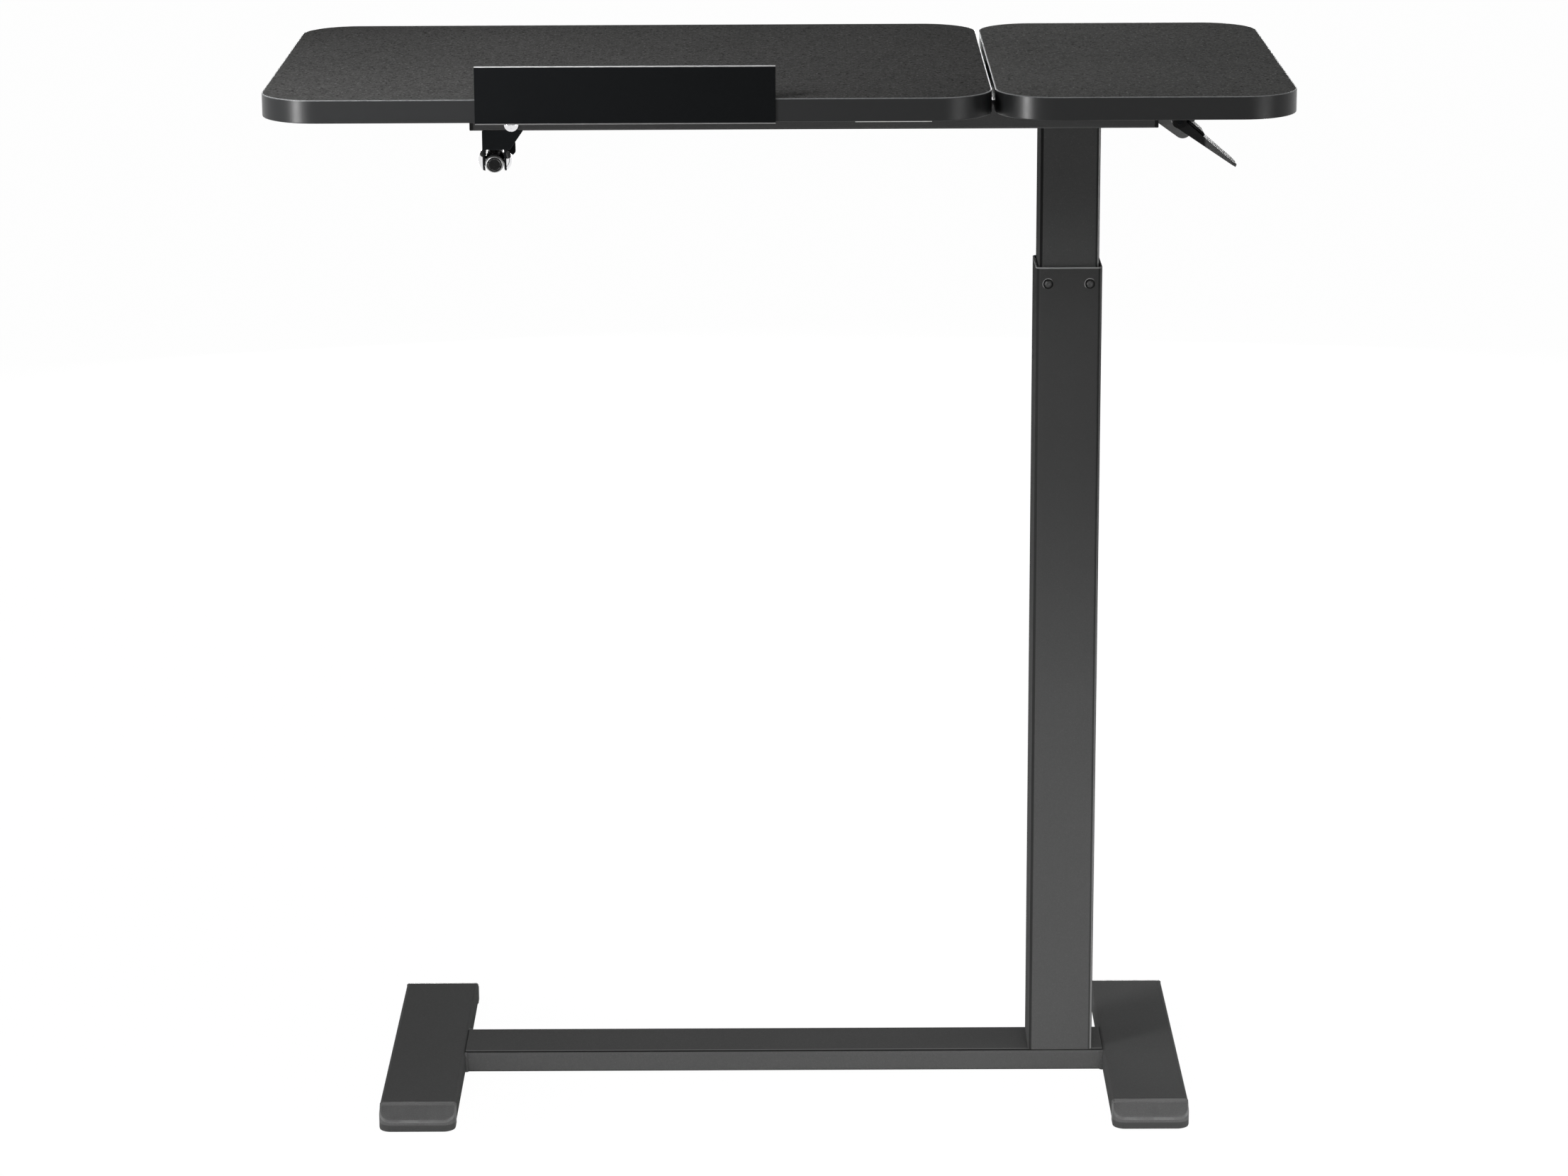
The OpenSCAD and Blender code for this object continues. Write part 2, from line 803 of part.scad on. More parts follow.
// Bolt through the stay's foot, with a domed chrome cap on each end
module stay_bolt() {
    cheek_out = cheek_in + cheek_t;
    color(chrome) {
        rod_x(stay_x - cheek_out - dome_h / 2, 2 * cheek_out + dome_h, stay_y, stay_z, stay_bolt_r);
        for (side = [-1, 1]) translate([stay_x + side * cheek_out, stay_y, stay_z])
            rotate([0, side * 90, 0]) intersection() {
                cylinder(h = dome_h, r = dome_r);
                dome(dome_r, dome_h);
            }
    }
}

// Ball whose cap of height h stands on z = 0 with radius r there
module dome(r, h) {
    ball = (r * r + h * h) / (2 * h);
    translate([0, 0, h - ball]) sphere(r = ball, $fn = 96);
}

// Turns what is drawn along +Y from the stay's pivot to lie in line with the stay
module in_stay_line() {
    translate([stay_x, stay_y, stay_z]) rotate([stay_angle, 0, 0]) children();
}

module stay_tube() {
    plug_t = 2;
    color(black) in_stay_line() difference() {
        rod_y(-stay_nose, stay_nose + stay_tube_l, 0, 0, stay_r);
        rod_y(stay_bore_start, stay_tube_l, 0, 0, stay_bore_r);
        rod_y(-stay_nose - over, plug_t + over, 0, 0, stay_r - 1.2);
        rod_x(-stay_r - over, 2 * (stay_r + over), 0, 0, stay_bolt_r + fit);
    }
}

module stay_end_plug() {
    color(nylon) in_stay_line() rod_y(-stay_nose, 2, 0, 0, stay_r - 1.2 - fit);
}

module stay_gland() {
    color(black) in_stay_line() difference() {
        rod_y(stay_tube_l, gland_l, 0, 0, gland_r);
        rod_y(stay_tube_l - over, gland_l + 2 * over, 0, 0, stay_bore_r);
    }
}

module stay_rod() {
    color(chrome) in_stay_line() rod_y(stay_bore_start + 11, stay_span - eye_r - stay_bore_start - 11,
                                       0, 0, stay_rod_r);
}

// Eye that plays round the upper pin, because the rod follows the board's arc only closely
module stay_eye() {
    color(black) in_stay_line() difference() {
        union() {
            rod_x(-eye_w / 2, eye_w, stay_span, 0, eye_r);
            rod_y(stay_span - eye_r, eye_r / 2, 0, 0, stay_rod_r);
        }
        rod_x(-eye_w, 2 * eye_w, stay_span, 0, stay_bolt_r + eye_play);
    }
}

function upper_screw_places() =
    [for (side = [-1, 1]) [stay_x, eye_y + side * (upper_plate_l / 2 - 7)]];

module stay_upper_bracket() {
    w = 2 * (upper_cheek_in + upper_cheek_t);
    color(paint) difference() {
        union() {
            translate([stay_x - w / 2, eye_y - upper_plate_l / 2, board_z - upper_plate_t])
                cube([w, upper_plate_l, upper_plate_t]);
            for (x = [stay_x - w / 2, stay_x + upper_cheek_in]) along_x(x, upper_cheek_t) {
                translate([eye_y, eye_z]) circle(2 * stay_bolt_r);
                translate([eye_y - 2 * stay_bolt_r, eye_z])
                    square([4 * stay_bolt_r, board_z - eye_z]);
            }
        }
        rod_x(stay_x - w, 2 * w, eye_y, eye_z, stay_bolt_r + fit);
        for (p = upper_screw_places())
            post(p.x, p.y, board_z - upper_plate_t - over, upper_plate_t + 2 * over, leaf_screw_r + fit);
    }
}

module stay_upper_pin() {
    half = upper_cheek_in + upper_cheek_t + 0.4;
    color(zinc) rod_x(stay_x - half, 2 * half, eye_y, eye_z, stay_bolt_r);
}

module upper_bracket_screws() {
    color(zinc) for (p = upper_screw_places())
        board_screw(p.x, p.y, upper_plate_t, leaf_screw_r, leaf_head_r, leaf_head_t);
}

// Release

function lever_screw_places() =
    [for (x = [bracket_left + 8, bracket_right - 8], side = [-1, 1]) [x, side * lever_w / 4]];

// Bracket under the side board: a small front cheek and a larger rear cheek with a round lobe
module lever_bracket() {
    half = lever_w / 2 + gap;
    front_r = hub_r - 0.5;
    low_left = [bracket_left, lever_p.y + 6];
    left_touch = touch(low_left, lobe_c, lobe_r, -1);
    top_right = [bracket_right, board_z];
    right_touch = touch(top_right, lobe_c, lobe_r, 1);
    color(frame_paint) difference() {
        union() {
            translate([bracket_left, -half - lever_cheek_t, board_z - lever_cheek_t])
                cube([bracket_right - bracket_left, 2 * (half + lever_cheek_t), lever_cheek_t]);
            along_y(-half - lever_cheek_t, lever_cheek_t) {
                translate(lever_p) circle(front_r);
                translate([lever_p.x - front_r, lever_p.y])
                    square([2 * front_r, board_z - lever_p.y]);
            }
            along_y(half, lever_cheek_t) {
                translate(lobe_c) circle(lobe_r);
                polygon([[bracket_left, board_z], low_left, left_touch, lobe_c, right_touch, top_right]);
            }
        }
        rod_y(-2 * half, 4 * half, lever_p.x, lever_p.y, pivot_r + fit);
        for (p = lever_screw_places())
            post(p.x, p.y, board_z - lever_cheek_t - over, lever_cheek_t + 2 * over, leaf_screw_r + fit);
    }
}

module lever_bracket_screws() {
    color(zinc) for (p = lever_screw_places())
        board_screw(p.x, p.y, lever_cheek_t, leaf_screw_r, leaf_head_r, leaf_head_t);
}

module lever_pin() {
    half = lever_w / 2 + gap + lever_cheek_t + 0.6;
    color(black) rod_y(-half, 2 * half, lever_p.x, lever_p.y, pivot_r);
}

// Puts a profile whose x runs from the lever's pivot to its tip into the lever's place
module in_lever_line() {
    translate(lever_p) rotate(-lever_slope) children();
}

// Crank ears beside the link: a round end over a pivot, with the link's slot between them
module crank_ears(p) {
    for (y = [-ear_w / 2, link_slot / 2]) along_y(y, (ear_w - link_slot) / 2) translate(p) {
        translate([0, crank]) circle(ear_r);
        translate([-ear_r, 0]) square([2 * ear_r, crank]);
    }
}

// Height of the lever's top face over its middle line, at x from the pivot
function lever_top(x) = lever_root + (lever_tip_t - lever_low - lever_root) * x / lever_l;

module release_lever() {
    slot_x = 8;
    difference() {
        color(plastic) union() {
            difference() {
                intersection() {
                    along_y(-lever_w, 2 * lever_w) {
                        translate(lever_p) circle(hub_r);
                        in_lever_line() polygon([
                            [0, -lever_low],
                            [lever_l, -lever_low],
                            [lever_l, lever_top(lever_l)],
                            [0, lever_top(0)]]);
                    }
                    translate([lever_p.x, 0, lever_p.y - lever_l]) linear_extrude(2 * lever_l) {
                        reach = lever_l * cos(lever_slope) - lever_tip_t * 0.9;
                        translate([-2 * hub_r, -lever_w / 2])
                            square([2 * hub_r + reach - lever_corner_r, lever_w]);
                        for (side = [-1, 1])
                            translate([reach - lever_corner_r, side * (lever_w / 2 - lever_corner_r)])
                                circle(lever_corner_r);
                        translate([0, lever_corner_r - lever_w / 2])
                            square([reach, lever_w - 2 * lever_corner_r]);
                    }
                }
                translate([lever_p.x - slot_x, -link_slot / 2, lever_p.y - slot_x])
                    cube([slot_x + core_r + over, link_slot, 2 * slot_x]);
            }
            crank_ears(lever_p);
            rod_y(-link_slot / 2, link_slot, lever_p.x, lever_p.y, core_r);
        }
        rod_y(-lever_w, 2 * lever_w, lever_p.x, lever_p.y, pivot_r + fit);
        rod_y(-ear_w, 2 * ear_w, lever_p.x, lever_p.y + crank, link_pin_r + fit);
    }
}

module lever_block() {
    color(black) along_y(-lever_w / 2 + over, lever_w - 2 * over) in_lever_line() polygon([
        [block_from, lever_top(block_from)],
        [block_to, lever_top(block_to)],
        [block_to - over, lever_top(block_to) + block_h],
        [block_from, lever_top(block_from) + block_h]]);
}

module lever_crank_pin() {
    color(zinc) rod_y(-ear_w / 2, ear_w, lever_p.x, lever_p.y + crank, link_pin_r);
}

module push_link() {
    from = rocker_p + [0, crank];
    to = lever_p + [0, crank];
    way = atan2(to.y - from.y, to.x - from.x);
    color(zinc) difference() {
        along_y(-link_t / 2, link_t) {
            translate(from) circle(link_eye_r);
            translate(to) circle(link_eye_r);
            translate(from) rotate(way) translate([0, -link_h / 2]) square([norm(to - from), link_h]);
        }
        for (p = [from, to]) rod_y(-link_t, 2 * link_t, p.x, p.y, link_pin_r + fit);
    }
}

module rocker_bracket() {
    inner = ear_w / 2 + gap;
    flange = 10;
    color(paint) difference() {
        for (face = [0, 1]) mirror([0, face, 0]) {
            along_y(inner, rocker_cheek_t) {
                translate(rocker_p) circle(rocker_cheek_r);
                translate([rocker_p.x - rocker_cheek_r, rail_z + plate_t])
                    square([2 * rocker_cheek_r, rocker_p.y - rail_z - plate_t]);
            }
            translate([rocker_p.x - rocker_cheek_r, inner, rail_z + plate_t])
                cube([2 * rocker_cheek_r, flange, rocker_cheek_t]);
        }
        rod_y(-2 * flange, 4 * flange, rocker_p.x, rocker_p.y, pivot_r + fit);
    }
}

module rocker_pin() {
    half = ear_w / 2 + gap + rocker_cheek_t + 0.6;
    color(zinc) rod_y(-half, 2 * half, rocker_p.x, rocker_p.y, pivot_r);
}

// Rocker: its cranked ears take the link, and its nose stands over the gas spring's pin
module release_rocker() {
    arm_low = 2;
    arm_high = 1.8;
    color(zinc) difference() {
        union() {
            for (y = [-ear_w / 2, link_slot / 2])
                rod_y(y, (ear_w - link_slot) / 2, rocker_p.x, rocker_p.y, rocker_hub_r);
            crank_ears(rocker_p);
            rod_y(-link_slot / 2, link_slot, rocker_p.x, rocker_p.y, core_r);
            translate([column_x, -rocker_arm_w / 2, rocker_p.y - arm_low])
                cube([rocker_p.x - column_x, rocker_arm_w, arm_low + arm_high]);
            rod_y(-rocker_arm_w / 2, rocker_arm_w, column_x, rocker_p.y + nose_lift, rocker_nose_r);
        }
        rod_y(-ear_w, 2 * ear_w, rocker_p.x, rocker_p.y, pivot_r + fit);
        rod_y(-ear_w, 2 * ear_w, rocker_p.x, rocker_p.y + crank, link_pin_r + fit);
    }
}

module rocker_crank_pin() {
    color(zinc) rod_y(-ear_w / 2, ear_w, rocker_p.x, rocker_p.y + crank, link_pin_r);
}

module release_pin() {
    color(chrome) post(column_x, 0, pin_low, pin_top - pin_low, pin_r);
}

left_foot_tube();
right_foot_tube();
foot_end_caps();
foot_pads();
crossbar();
outer_column();
column_base_plate();
column_bolts();
gas_cylinder();
cylinder_nut();
upper_glide();
inner_column();
lower_glide();
column_top_plate();
mount_plate();
mount_bolts();
mount_nuts();
gas_rod();
gas_piston();
rod_nut();
front_rail();
rear_rail();
left_cross_tube();
rail_end_caps();
rail_screws();
side_board();
side_edge_band();
side_board_screws();
hinge_fixed_leaves();
hinge_pins();
fixed_leaf_screws();
stay_bracket();
stay_bolt();
lever_bracket();
lever_bracket_screws();
lever_pin();
rocker_bracket();
rocker_pin();
main_board();
main_edge_band();
hinge_moving_leaves();
moving_leaf_screws();
laptop_stop();
stop_screws();
stay_upper_bracket();
stay_upper_pin();
upper_bracket_screws();
stay_tube();
stay_end_plug();
stay_gland();
stay_rod();
stay_eye();
release_lever();
lever_block();
lever_crank_pin();
push_link();
release_rocker();
rocker_crank_pin();
release_pin();
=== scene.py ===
"""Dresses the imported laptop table: its boards, frame, column, stay, lever, fasteners and stage."""

import json
import math

import bmesh
import bpy
from mathutils import Matrix, Vector


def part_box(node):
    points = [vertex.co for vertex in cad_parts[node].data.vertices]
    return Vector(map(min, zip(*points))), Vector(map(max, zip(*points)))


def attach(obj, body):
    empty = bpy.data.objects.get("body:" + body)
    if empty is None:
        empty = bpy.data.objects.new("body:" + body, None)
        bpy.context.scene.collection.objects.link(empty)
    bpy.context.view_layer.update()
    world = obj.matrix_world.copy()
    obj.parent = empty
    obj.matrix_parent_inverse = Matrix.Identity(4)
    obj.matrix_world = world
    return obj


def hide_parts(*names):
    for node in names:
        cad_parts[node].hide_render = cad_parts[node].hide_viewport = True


bl_info = {
    "name": "Laptop table",
    "version": (1, 0, 0),
    "blender": (4, 5, 0),
    "location": "3D View > Sidebar > Laptop table",
    "description": "Builds the visible pieces and finishes of a split-top laptop table "
                   "over its CAD frame",
    "category": "Object",
}

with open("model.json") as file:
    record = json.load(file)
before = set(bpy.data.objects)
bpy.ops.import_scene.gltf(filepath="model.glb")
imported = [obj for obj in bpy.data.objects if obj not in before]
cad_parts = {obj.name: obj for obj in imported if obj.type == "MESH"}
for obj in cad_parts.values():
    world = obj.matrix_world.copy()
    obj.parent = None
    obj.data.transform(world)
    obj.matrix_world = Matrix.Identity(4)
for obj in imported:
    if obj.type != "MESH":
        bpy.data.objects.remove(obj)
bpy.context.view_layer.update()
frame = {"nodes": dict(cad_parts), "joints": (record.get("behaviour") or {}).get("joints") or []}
MM = 0.001


# Sizes and colours


def length(name, description, millimetres, low, high):
    return bpy.props.FloatProperty(
        name=name, description=description, default=millimetres * MM, min=low * MM, max=high * MM,
        precision=5, unit="LENGTH")


def colour(name, description, value):
    return bpy.props.FloatVectorProperty(
        name=name, description=description, size=3, default=value, min=0.0, max=1.0,
        subtype="COLOR")


class TableSizes(bpy.types.PropertyGroup):
    """Sizes of the detail that the CAD frame leaves to the visible pieces."""
    band_arris: length("Band arris", "Rounding of the edge bands' long edges", 0.7, 0.1, 2)
    band_joint: length("Band joint", "Hairline between laminate and edge band", 0.16, 0.02, 0.5)
    fold_radius: length("Fold radius", "Outer radius of the stop's fold", 2.4, 1.6, 4)
    sheet_edge: length("Sheet edge", "Rounding of the cut edges of sheet and plate", 0.3, 0.05, 0.7)
    tube_edge: length("Tube edge", "Rounding of the cut ends of tubes", 0.35, 0.05, 0.7)
    leaf_edge: length("Leaf edge", "Rounding of the hinges' leaves", 0.22, 0.05, 0.5)
    link_edge: length("Link edge", "Rounding of the release's link and bracket", 0.25, 0.05, 0.5)
    crank_edge: length("Crank edge", "Rounding of the release's rocker and pins", 0.2, 0.05, 0.5)
    moulding_edge: length("Moulding edge", "Rounding of small moulded parts", 0.6, 0.1, 2)
    block_edge: length("Block edge", "Rounding of the block on the lever's root", 1.3, 0.1, 2)
    cap_fillet: length("Cap fillet", "Rounding round the top of the foot caps", 2.4, 0.5, 5)
    cap_collar: length("Cap collar", "Depth of the flat collar of the foot caps", 2.6, 1, 5)
    cap_step: length("Cap step", "Drop from the collar to the sloping face", 0.9, 0.1, 2)
    cap_corner: length("Cap corner", "Radius of the foot caps' upright corners", 10, 5, 20)
    cap_nose: length("Cap nose", "Height of the sloping face at the foot caps' ends", 10.4, 5, 20)
    weld_radius: length("Weld radius", "Radius of the weld beads of the base", 2.1, 0.5, 5)
    weld_pitch: length("Weld pitch", "Distance between the ripples of a weld bead", 1.5, 0.5, 5)
    button_radius: length("Button radius", "Radius of the column's snap buttons", 2.7, 1, 4)
    button_height: length("Button height", "Height of the column's snap buttons", 0.9, 0.2, 3)
    hex_edge: length("Hexagon edge", "Chamfer on bolt heads and nuts", 0.5, 0.1, 1)
    recess_width: bpy.props.FloatProperty(
        name="Recess width", description="Width of a screw's recess as a share of its head",
        default=0.56, min=0.0, max=1.0, subtype="FACTOR")


class TableColours(bpy.types.PropertyGroup):
    """Colours of the finishes, one for each material slot of the part."""
    board_laminate: colour("Laminate", "Charcoal laminate of the boards", (0.0236, 0.0236, 0.0232))
    edge_band: colour("Edge band", "Satin band round the boards", (0.0048, 0.0050, 0.0052))
    frame_paint: colour("Frame", "Powder coat of the column and base", (0.0352, 0.0354, 0.0352))
    under_paint: colour("Under-frame", "Powder coat under the boards", (0.038, 0.038, 0.038))
    stop_paint: colour("Stop", "Black paint of the stop and brackets", (0.0040, 0.0045, 0.0049))
    end_cap_plastic: colour("Foot caps", "Grained moulding of the foot caps", (0.042, 0.042, 0.042))
    black_plastic: colour("Black moulding", "Rail caps and small mouldings", (0.010, 0.010, 0.010))
    nylon: colour("Glides", "Nylon of the column's glides", (0.014, 0.014, 0.014))
    lever_plastic: colour("Lever", "Satin moulding of the release lever", (0.062, 0.062, 0.062))
    rubber: colour("Pads", "Rubber under the feet", (0.012, 0.012, 0.012))
    chrome: colour("Chrome", "Plated caps, screw heads and rods", (0.80, 0.80, 0.81))
    zinc: colour("Zinc", "Bright zinc plate of hinges and fasteners", (0.52, 0.52, 0.50))


def sizes():
    return bpy.context.scene.table_sizes


def slot_colour(slot, factor=1.0):
    return tuple(factor * part for part in getattr(bpy.context.scene.table_colours, slot))


# Node graphs


class Wire:
    """One output socket in a node graph. Arithmetic on it adds Math nodes to the graph."""

    def __init__(self, graph, socket):
        self.graph = graph
        self.socket = socket

    def __add__(self, other):
        return self.graph.math("ADD", self, other)

    def __sub__(self, other):
        return self.graph.math("SUBTRACT", self, other)

    def __rsub__(self, other):
        return self.graph.math("SUBTRACT", other, self)

    def __mul__(self, other):
        return self.graph.math("MULTIPLY", self, other)

    def __truediv__(self, other):
        return self.graph.math("DIVIDE", self, other)

    def __pow__(self, other):
        return self.graph.math("POWER", self, other)

    __radd__ = __add__
    __rmul__ = __mul__

    def limited(self):
        """The value, held between 0 and 1."""
        return self.graph.math("ADD", self, 0.0, clamp=True)

    def step(self, low, high):
        """Smooth rise from 0 at low to 1 at high, which may be the smaller of the two."""
        settings = {"interpolation_type": "SMOOTHSTEP"}
        return self.graph.add("ShaderNodeMapRange", settings, {0: self, 1: low, 2: high})

    def pick(self, name):
        """Another output of the node that this wire leaves."""
        return Wire(self.graph, self.socket.node.outputs[name])


class Graph:
    """Adds nodes to a shader or geometry tree, each from its type, its settings and its sockets."""

    def __init__(self, tree):
        self.tree = tree

    def add(self, kind, settings=None, sockets=None, output=0):
        node = self.tree.nodes.new(kind)
        for name, value in (settings or {}).items():
            setattr(node, name, value)
        for name, value in (sockets or {}).items():
            if isinstance(value, Wire):
                self.tree.links.new(value.socket, node.inputs[name])
            else:
                node.inputs[name].default_value = value
        return Wire(self, node.outputs[output]) if len(node.outputs) else node

    def math(self, operation, *values, clamp=False):
        settings = {"operation": operation, "use_clamp": clamp}
        return self.add("ShaderNodeMath", settings, dict(enumerate(values)))

    def seen_rays(self):
        """1 on the rays of the camera, mirrors and clear bodies, which see the ground as white."""
        rays = self.add("ShaderNodeLightPath", output="Is Camera Ray")
        return (rays + rays.pick("Is Glossy Ray") + rays.pick("Is Transmission Ray")).limited()


class Finish(Graph):
    """The shader graph of one finish, on the coordinates of the object that wears it."""

    def __init__(self, name):
        self.material = bpy.data.materials.new(name)
        self.material.use_nodes = True
        super().__init__(self.material.node_tree)
        self.tree.nodes.clear()
        self.place = self.add("ShaderNodeTexCoord", output="Object")

    def stretched(self, *scale):
        settings = {"vector_type": "POINT"}
        return self.add("ShaderNodeMapping", settings, {"Vector": self.place, "Scale": scale})

    def noise(self, size, detail=2.0, roughness=0.5, place=None, offset=0.0):
        """Noise whose lumps are about size metres across."""
        return self.add("ShaderNodeTexNoise", {"noise_dimensions": "4D"},
                        {"Vector": place or self.place, "W": offset, "Scale": 1.0 / size,
                         "Detail": detail, "Roughness": roughness})

    def cells(self, size):
        sockets = {"Vector": self.place, "Scale": 1.0 / size}
        return self.add("ShaderNodeTexVoronoi", {"feature": "F1"}, sockets)

    def rubbed(self):
        """Mask of the rounded edges, which carry the attribute edge: uneven edge abrasion, and in
        part a painted highlight along the edges.
        """
        settings = {"attribute_type": "GEOMETRY", "attribute_name": "edge"}
        edge = self.add("ShaderNodeAttribute", settings, output="Fac")
        patches = self.noise(12 * MM, 3.0).step(0.35, 0.62)
        return (edge * (0.35 + 0.65 * patches)).limited()

    def along(self, axis):
        """Place along an axis: X from left to right, Y from front to back, Z up from the floor."""
        return self.add("ShaderNodeSeparateXYZ", None, {"Vector": self.place}, output=axis)

    def between(self, low, high, mask):
        """Colour from low to high by the mask."""
        settings = {"data_type": "RGBA", "blend_type": "MIX", "clamp_factor": True}
        return self.add("ShaderNodeMix", settings, {0: mask, 6: low, 7: high}, output=2)

    def marked(self, base, marks):
        """Colour under its marks. Each mark takes the graph and gives a mask and its colour."""
        for mark in marks:
            mask, shown = mark(self)
            base = self.between(base, shown, mask)
        return base

    def close(self, base, roughness, height, depth, constants, metallic=None):
        """Ends the graph. Depth is the bump's height in metres, and constants go on the shader."""
        bump = {"Strength": 1.0, "Distance": depth, "Height": height}
        sockets = {"Base Color": base, "Roughness": roughness.limited(),
                   "Normal": self.add("ShaderNodeBump", None, bump), **constants}
        if metallic is not None:
            sockets["Metallic"] = metallic
        surface = self.add("ShaderNodeBsdfPrincipled", None, sockets)
        self.add("ShaderNodeOutputMaterial", None, {"Surface": surface})
        return self.material


def tone(value, factor, tint=(1.0, 1.0, 1.0)):
    """A colour made lighter or darker, as a socket takes it."""
    return tuple(min(1.0, v * factor * t) for v, t in zip(value, tint)) + (1.0,)


def grey(value):
    return (value, value, value, 1.0)


# Marks on finishes: real marks, and painted shade and highlight


def stripe(wire, start, stop):
    """Mask of the values between start and stop, with soft edges."""
    soft = 0.15 * (stop - start)
    return wire.step(start, start + soft) * wire.step(stop, stop - soft)


def rubbed_rim(node, width, value):
    """Mark: the top edge of a node, worn through to its pale primer."""
    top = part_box(node)[1].z
    return lambda look: (look.along("Z").step(top - width, top - 0.6 * width)
                         * (0.7 + 0.3 * look.noise(5 * MM, 3.0)), grey(value))


def pale_fold(node, width, value):
    """Mark: the lowest edge of a node, paler in patches along its bend."""
    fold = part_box(node)[0].z + width
    return lambda look: (look.along("Z").step(fold, fold - 0.4 * width)
                         * (0.6 + 0.4 * look.noise(4 * MM, 3.0)), grey(value))


def painted_corner_lines(node, value, *lines):
    """Mark: upright lines of painted shade (dark values) and painted highlight (pale values) beside
    the corners of a tube. Each has a start and stop, as shares of the corner's radius from the left
    side, or from the right side if negative, and a strength."""
    low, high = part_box(node)
    radius = corner_radius(node)

    def mark(look):
        mask = 0.0
        for start, stop, strength in lines:
            side = low.x if start > 0 else high.x
            line = stripe(look.along("X"), side + radius * start, side + radius * stop)
            mask = mask + line * strength
        return mask, grey(value)
    return mark


def painted_ledge_line(node, value, start, stop, fade, full):
    """Mark: a line on top of a lying tube, from start to stop behind its front, that paints the
    shade and highlight of its rounded front edge: a dark value gives painted shade, a pale one a
    painted highlight. It fades in from the depth fade under the top to the depth full."""
    low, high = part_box(node)
    return lambda look: (stripe(look.along("Y"), low.y + start, low.y + stop)
                         * look.along("Z").step(high.z - fade, high.z - full), grey(value))


def painted_shade_above(low, high, value):
    """Mark: painted shade that darkens the coat from the height low to the height high."""
    return lambda look: (look.along("Z").step(low, high) * 0.55, tone(value, 0.50))


def coarse_skirt(node, rise, value):
    """Mark: the darker, coarser wall of a moulding, up to rise over its lowest face."""
    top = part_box(node)[0].z + rise
    return lambda look: ((look.along("Z").step(top, top - 1.2 * MM)
                          * (0.8 + 0.4 * look.noise(1.8 * MM, 2.0, offset=2.7))).limited(),
                         tone(value, 0.60))


def painted_shade_at_root(node, width, value):
    """Mark: painted shade on a lever near its root, fading out over width past the right end of a
    node.
    """
    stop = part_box(node)[1].x
    return lambda look: (look.along("X").step(stop + width, stop - 0.5 * width) * 0.9, grey(value))


def dark_front(node, value):
    """Mark: the front half of a bracket, left black."""
    low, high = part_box(node)
    middle = (low.y + high.y) / 2
    soft = 1.5 * MM
    return lambda look: (look.along("Y").step(middle + soft, middle - soft), grey(value))


def painted_hole_ring(start, stop, value, leaning=False):
    """Mark: a ring round each button, from the radius start to stop in millimetres: a dark one
    paints the shadow in the gap round the button, a pale one a highlight on the hole's rolled rim.
    Where it leans, only its upper left half shows, as that highlight does."""
    def mark(look):
        across, upright = look.along("X"), look.along("Z")
        mask = 0.0
        for x, z in hole_centres():
            right, up = (across - x) / MM, (upright - z) / MM
            ring = stripe((right * right + up * up) ** 0.5, start, stop)
            mask = mask + (ring * (up - right).step(-1.5, 2.5) if leaning else ring)
        return mask, grey(value)
    return mark


# Finishes


def laminate_finish(name, value):
    """Fine-textured melamine: dense grains, sparse pale flecks, a faint cloud, polished patches."""
    look = Finish(name)
    grain = look.noise(1.5 * MM, 3.0, 0.66)
    clump = look.noise(3.4 * MM, 2.0, 0.55, offset=5.2)
    fleck = look.noise(2.2 * MM, 1.0, 0.5, offset=3.1).step(0.60, 0.74)
    pit = look.noise(2.2 * MM, 2.0, 0.6, offset=7.4).step(0.44, 0.30)
    cloud = look.noise(110 * MM, 3.0, 0.5, offset=1.7)
    mask = 0.55 * grain + 0.35 * (clump - 0.5) + 0.45 * fleck - 0.30 * pit + 0.10 * (cloud - 0.5)
    base = look.between(tone(value, 0.30), tone(value, 3.2), mask.limited())
    handled = look.noise(70 * MM, 2.0, 0.5, offset=9.0).step(0.45, 0.75)
    roughness = 0.62 + 0.12 * grain - 0.03 * handled
    height = grain * 0.6 + fleck * 0.5 - pit * 0.4
    return look.close(base, roughness, height, 0.05 * MM, {"Specular IOR Level": 0.0})


def band_finish(name, value):
    """Extruded band: satin, with faint draw lines along it and paler arrises, partly from trimming
    and partly a painted highlight.
    """
    look = Finish(name)
    low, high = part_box("main_edge_band")
    upright = look.along("Z")
    lines = look.noise(0.5 * MM, 2.0, 0.6, place=look.stretched(0.04, 0.04, 1.0))
    lumps = look.noise(4 * MM, 2.0)
    # Paler arrises: partly trimmed band, partly a painted highlight along the edges.
    arris = (upright.step(high.z - 0.9 * MM, high.z - 0.35 * MM)
             + 0.1 * upright.step(low.z + 0.6 * MM, low.z))
    nicks = look.noise(2.5 * MM, 3.0, 0.65, offset=2.2).step(0.30, 0.62)
    scraped_and_highlighted = (arris * (0.60 + 0.40 * nicks)).limited()
    worn = look.between(tone(value, 0.90), tone(value, 1.15), 0.6 * lines + 0.4 * lumps)
    base = look.between(worn, tone(value, 12.0, (1.0, 0.99, 0.97)), scraped_and_highlighted)
    roughness = 0.25 + 0.10 * lines + 0.06 * lumps + 0.10 * scraped_and_highlighted
    height = lines * 0.5 + lumps
    return look.close(base, roughness, height, 0.015 * MM, {"Specular IOR Level": 0.22})


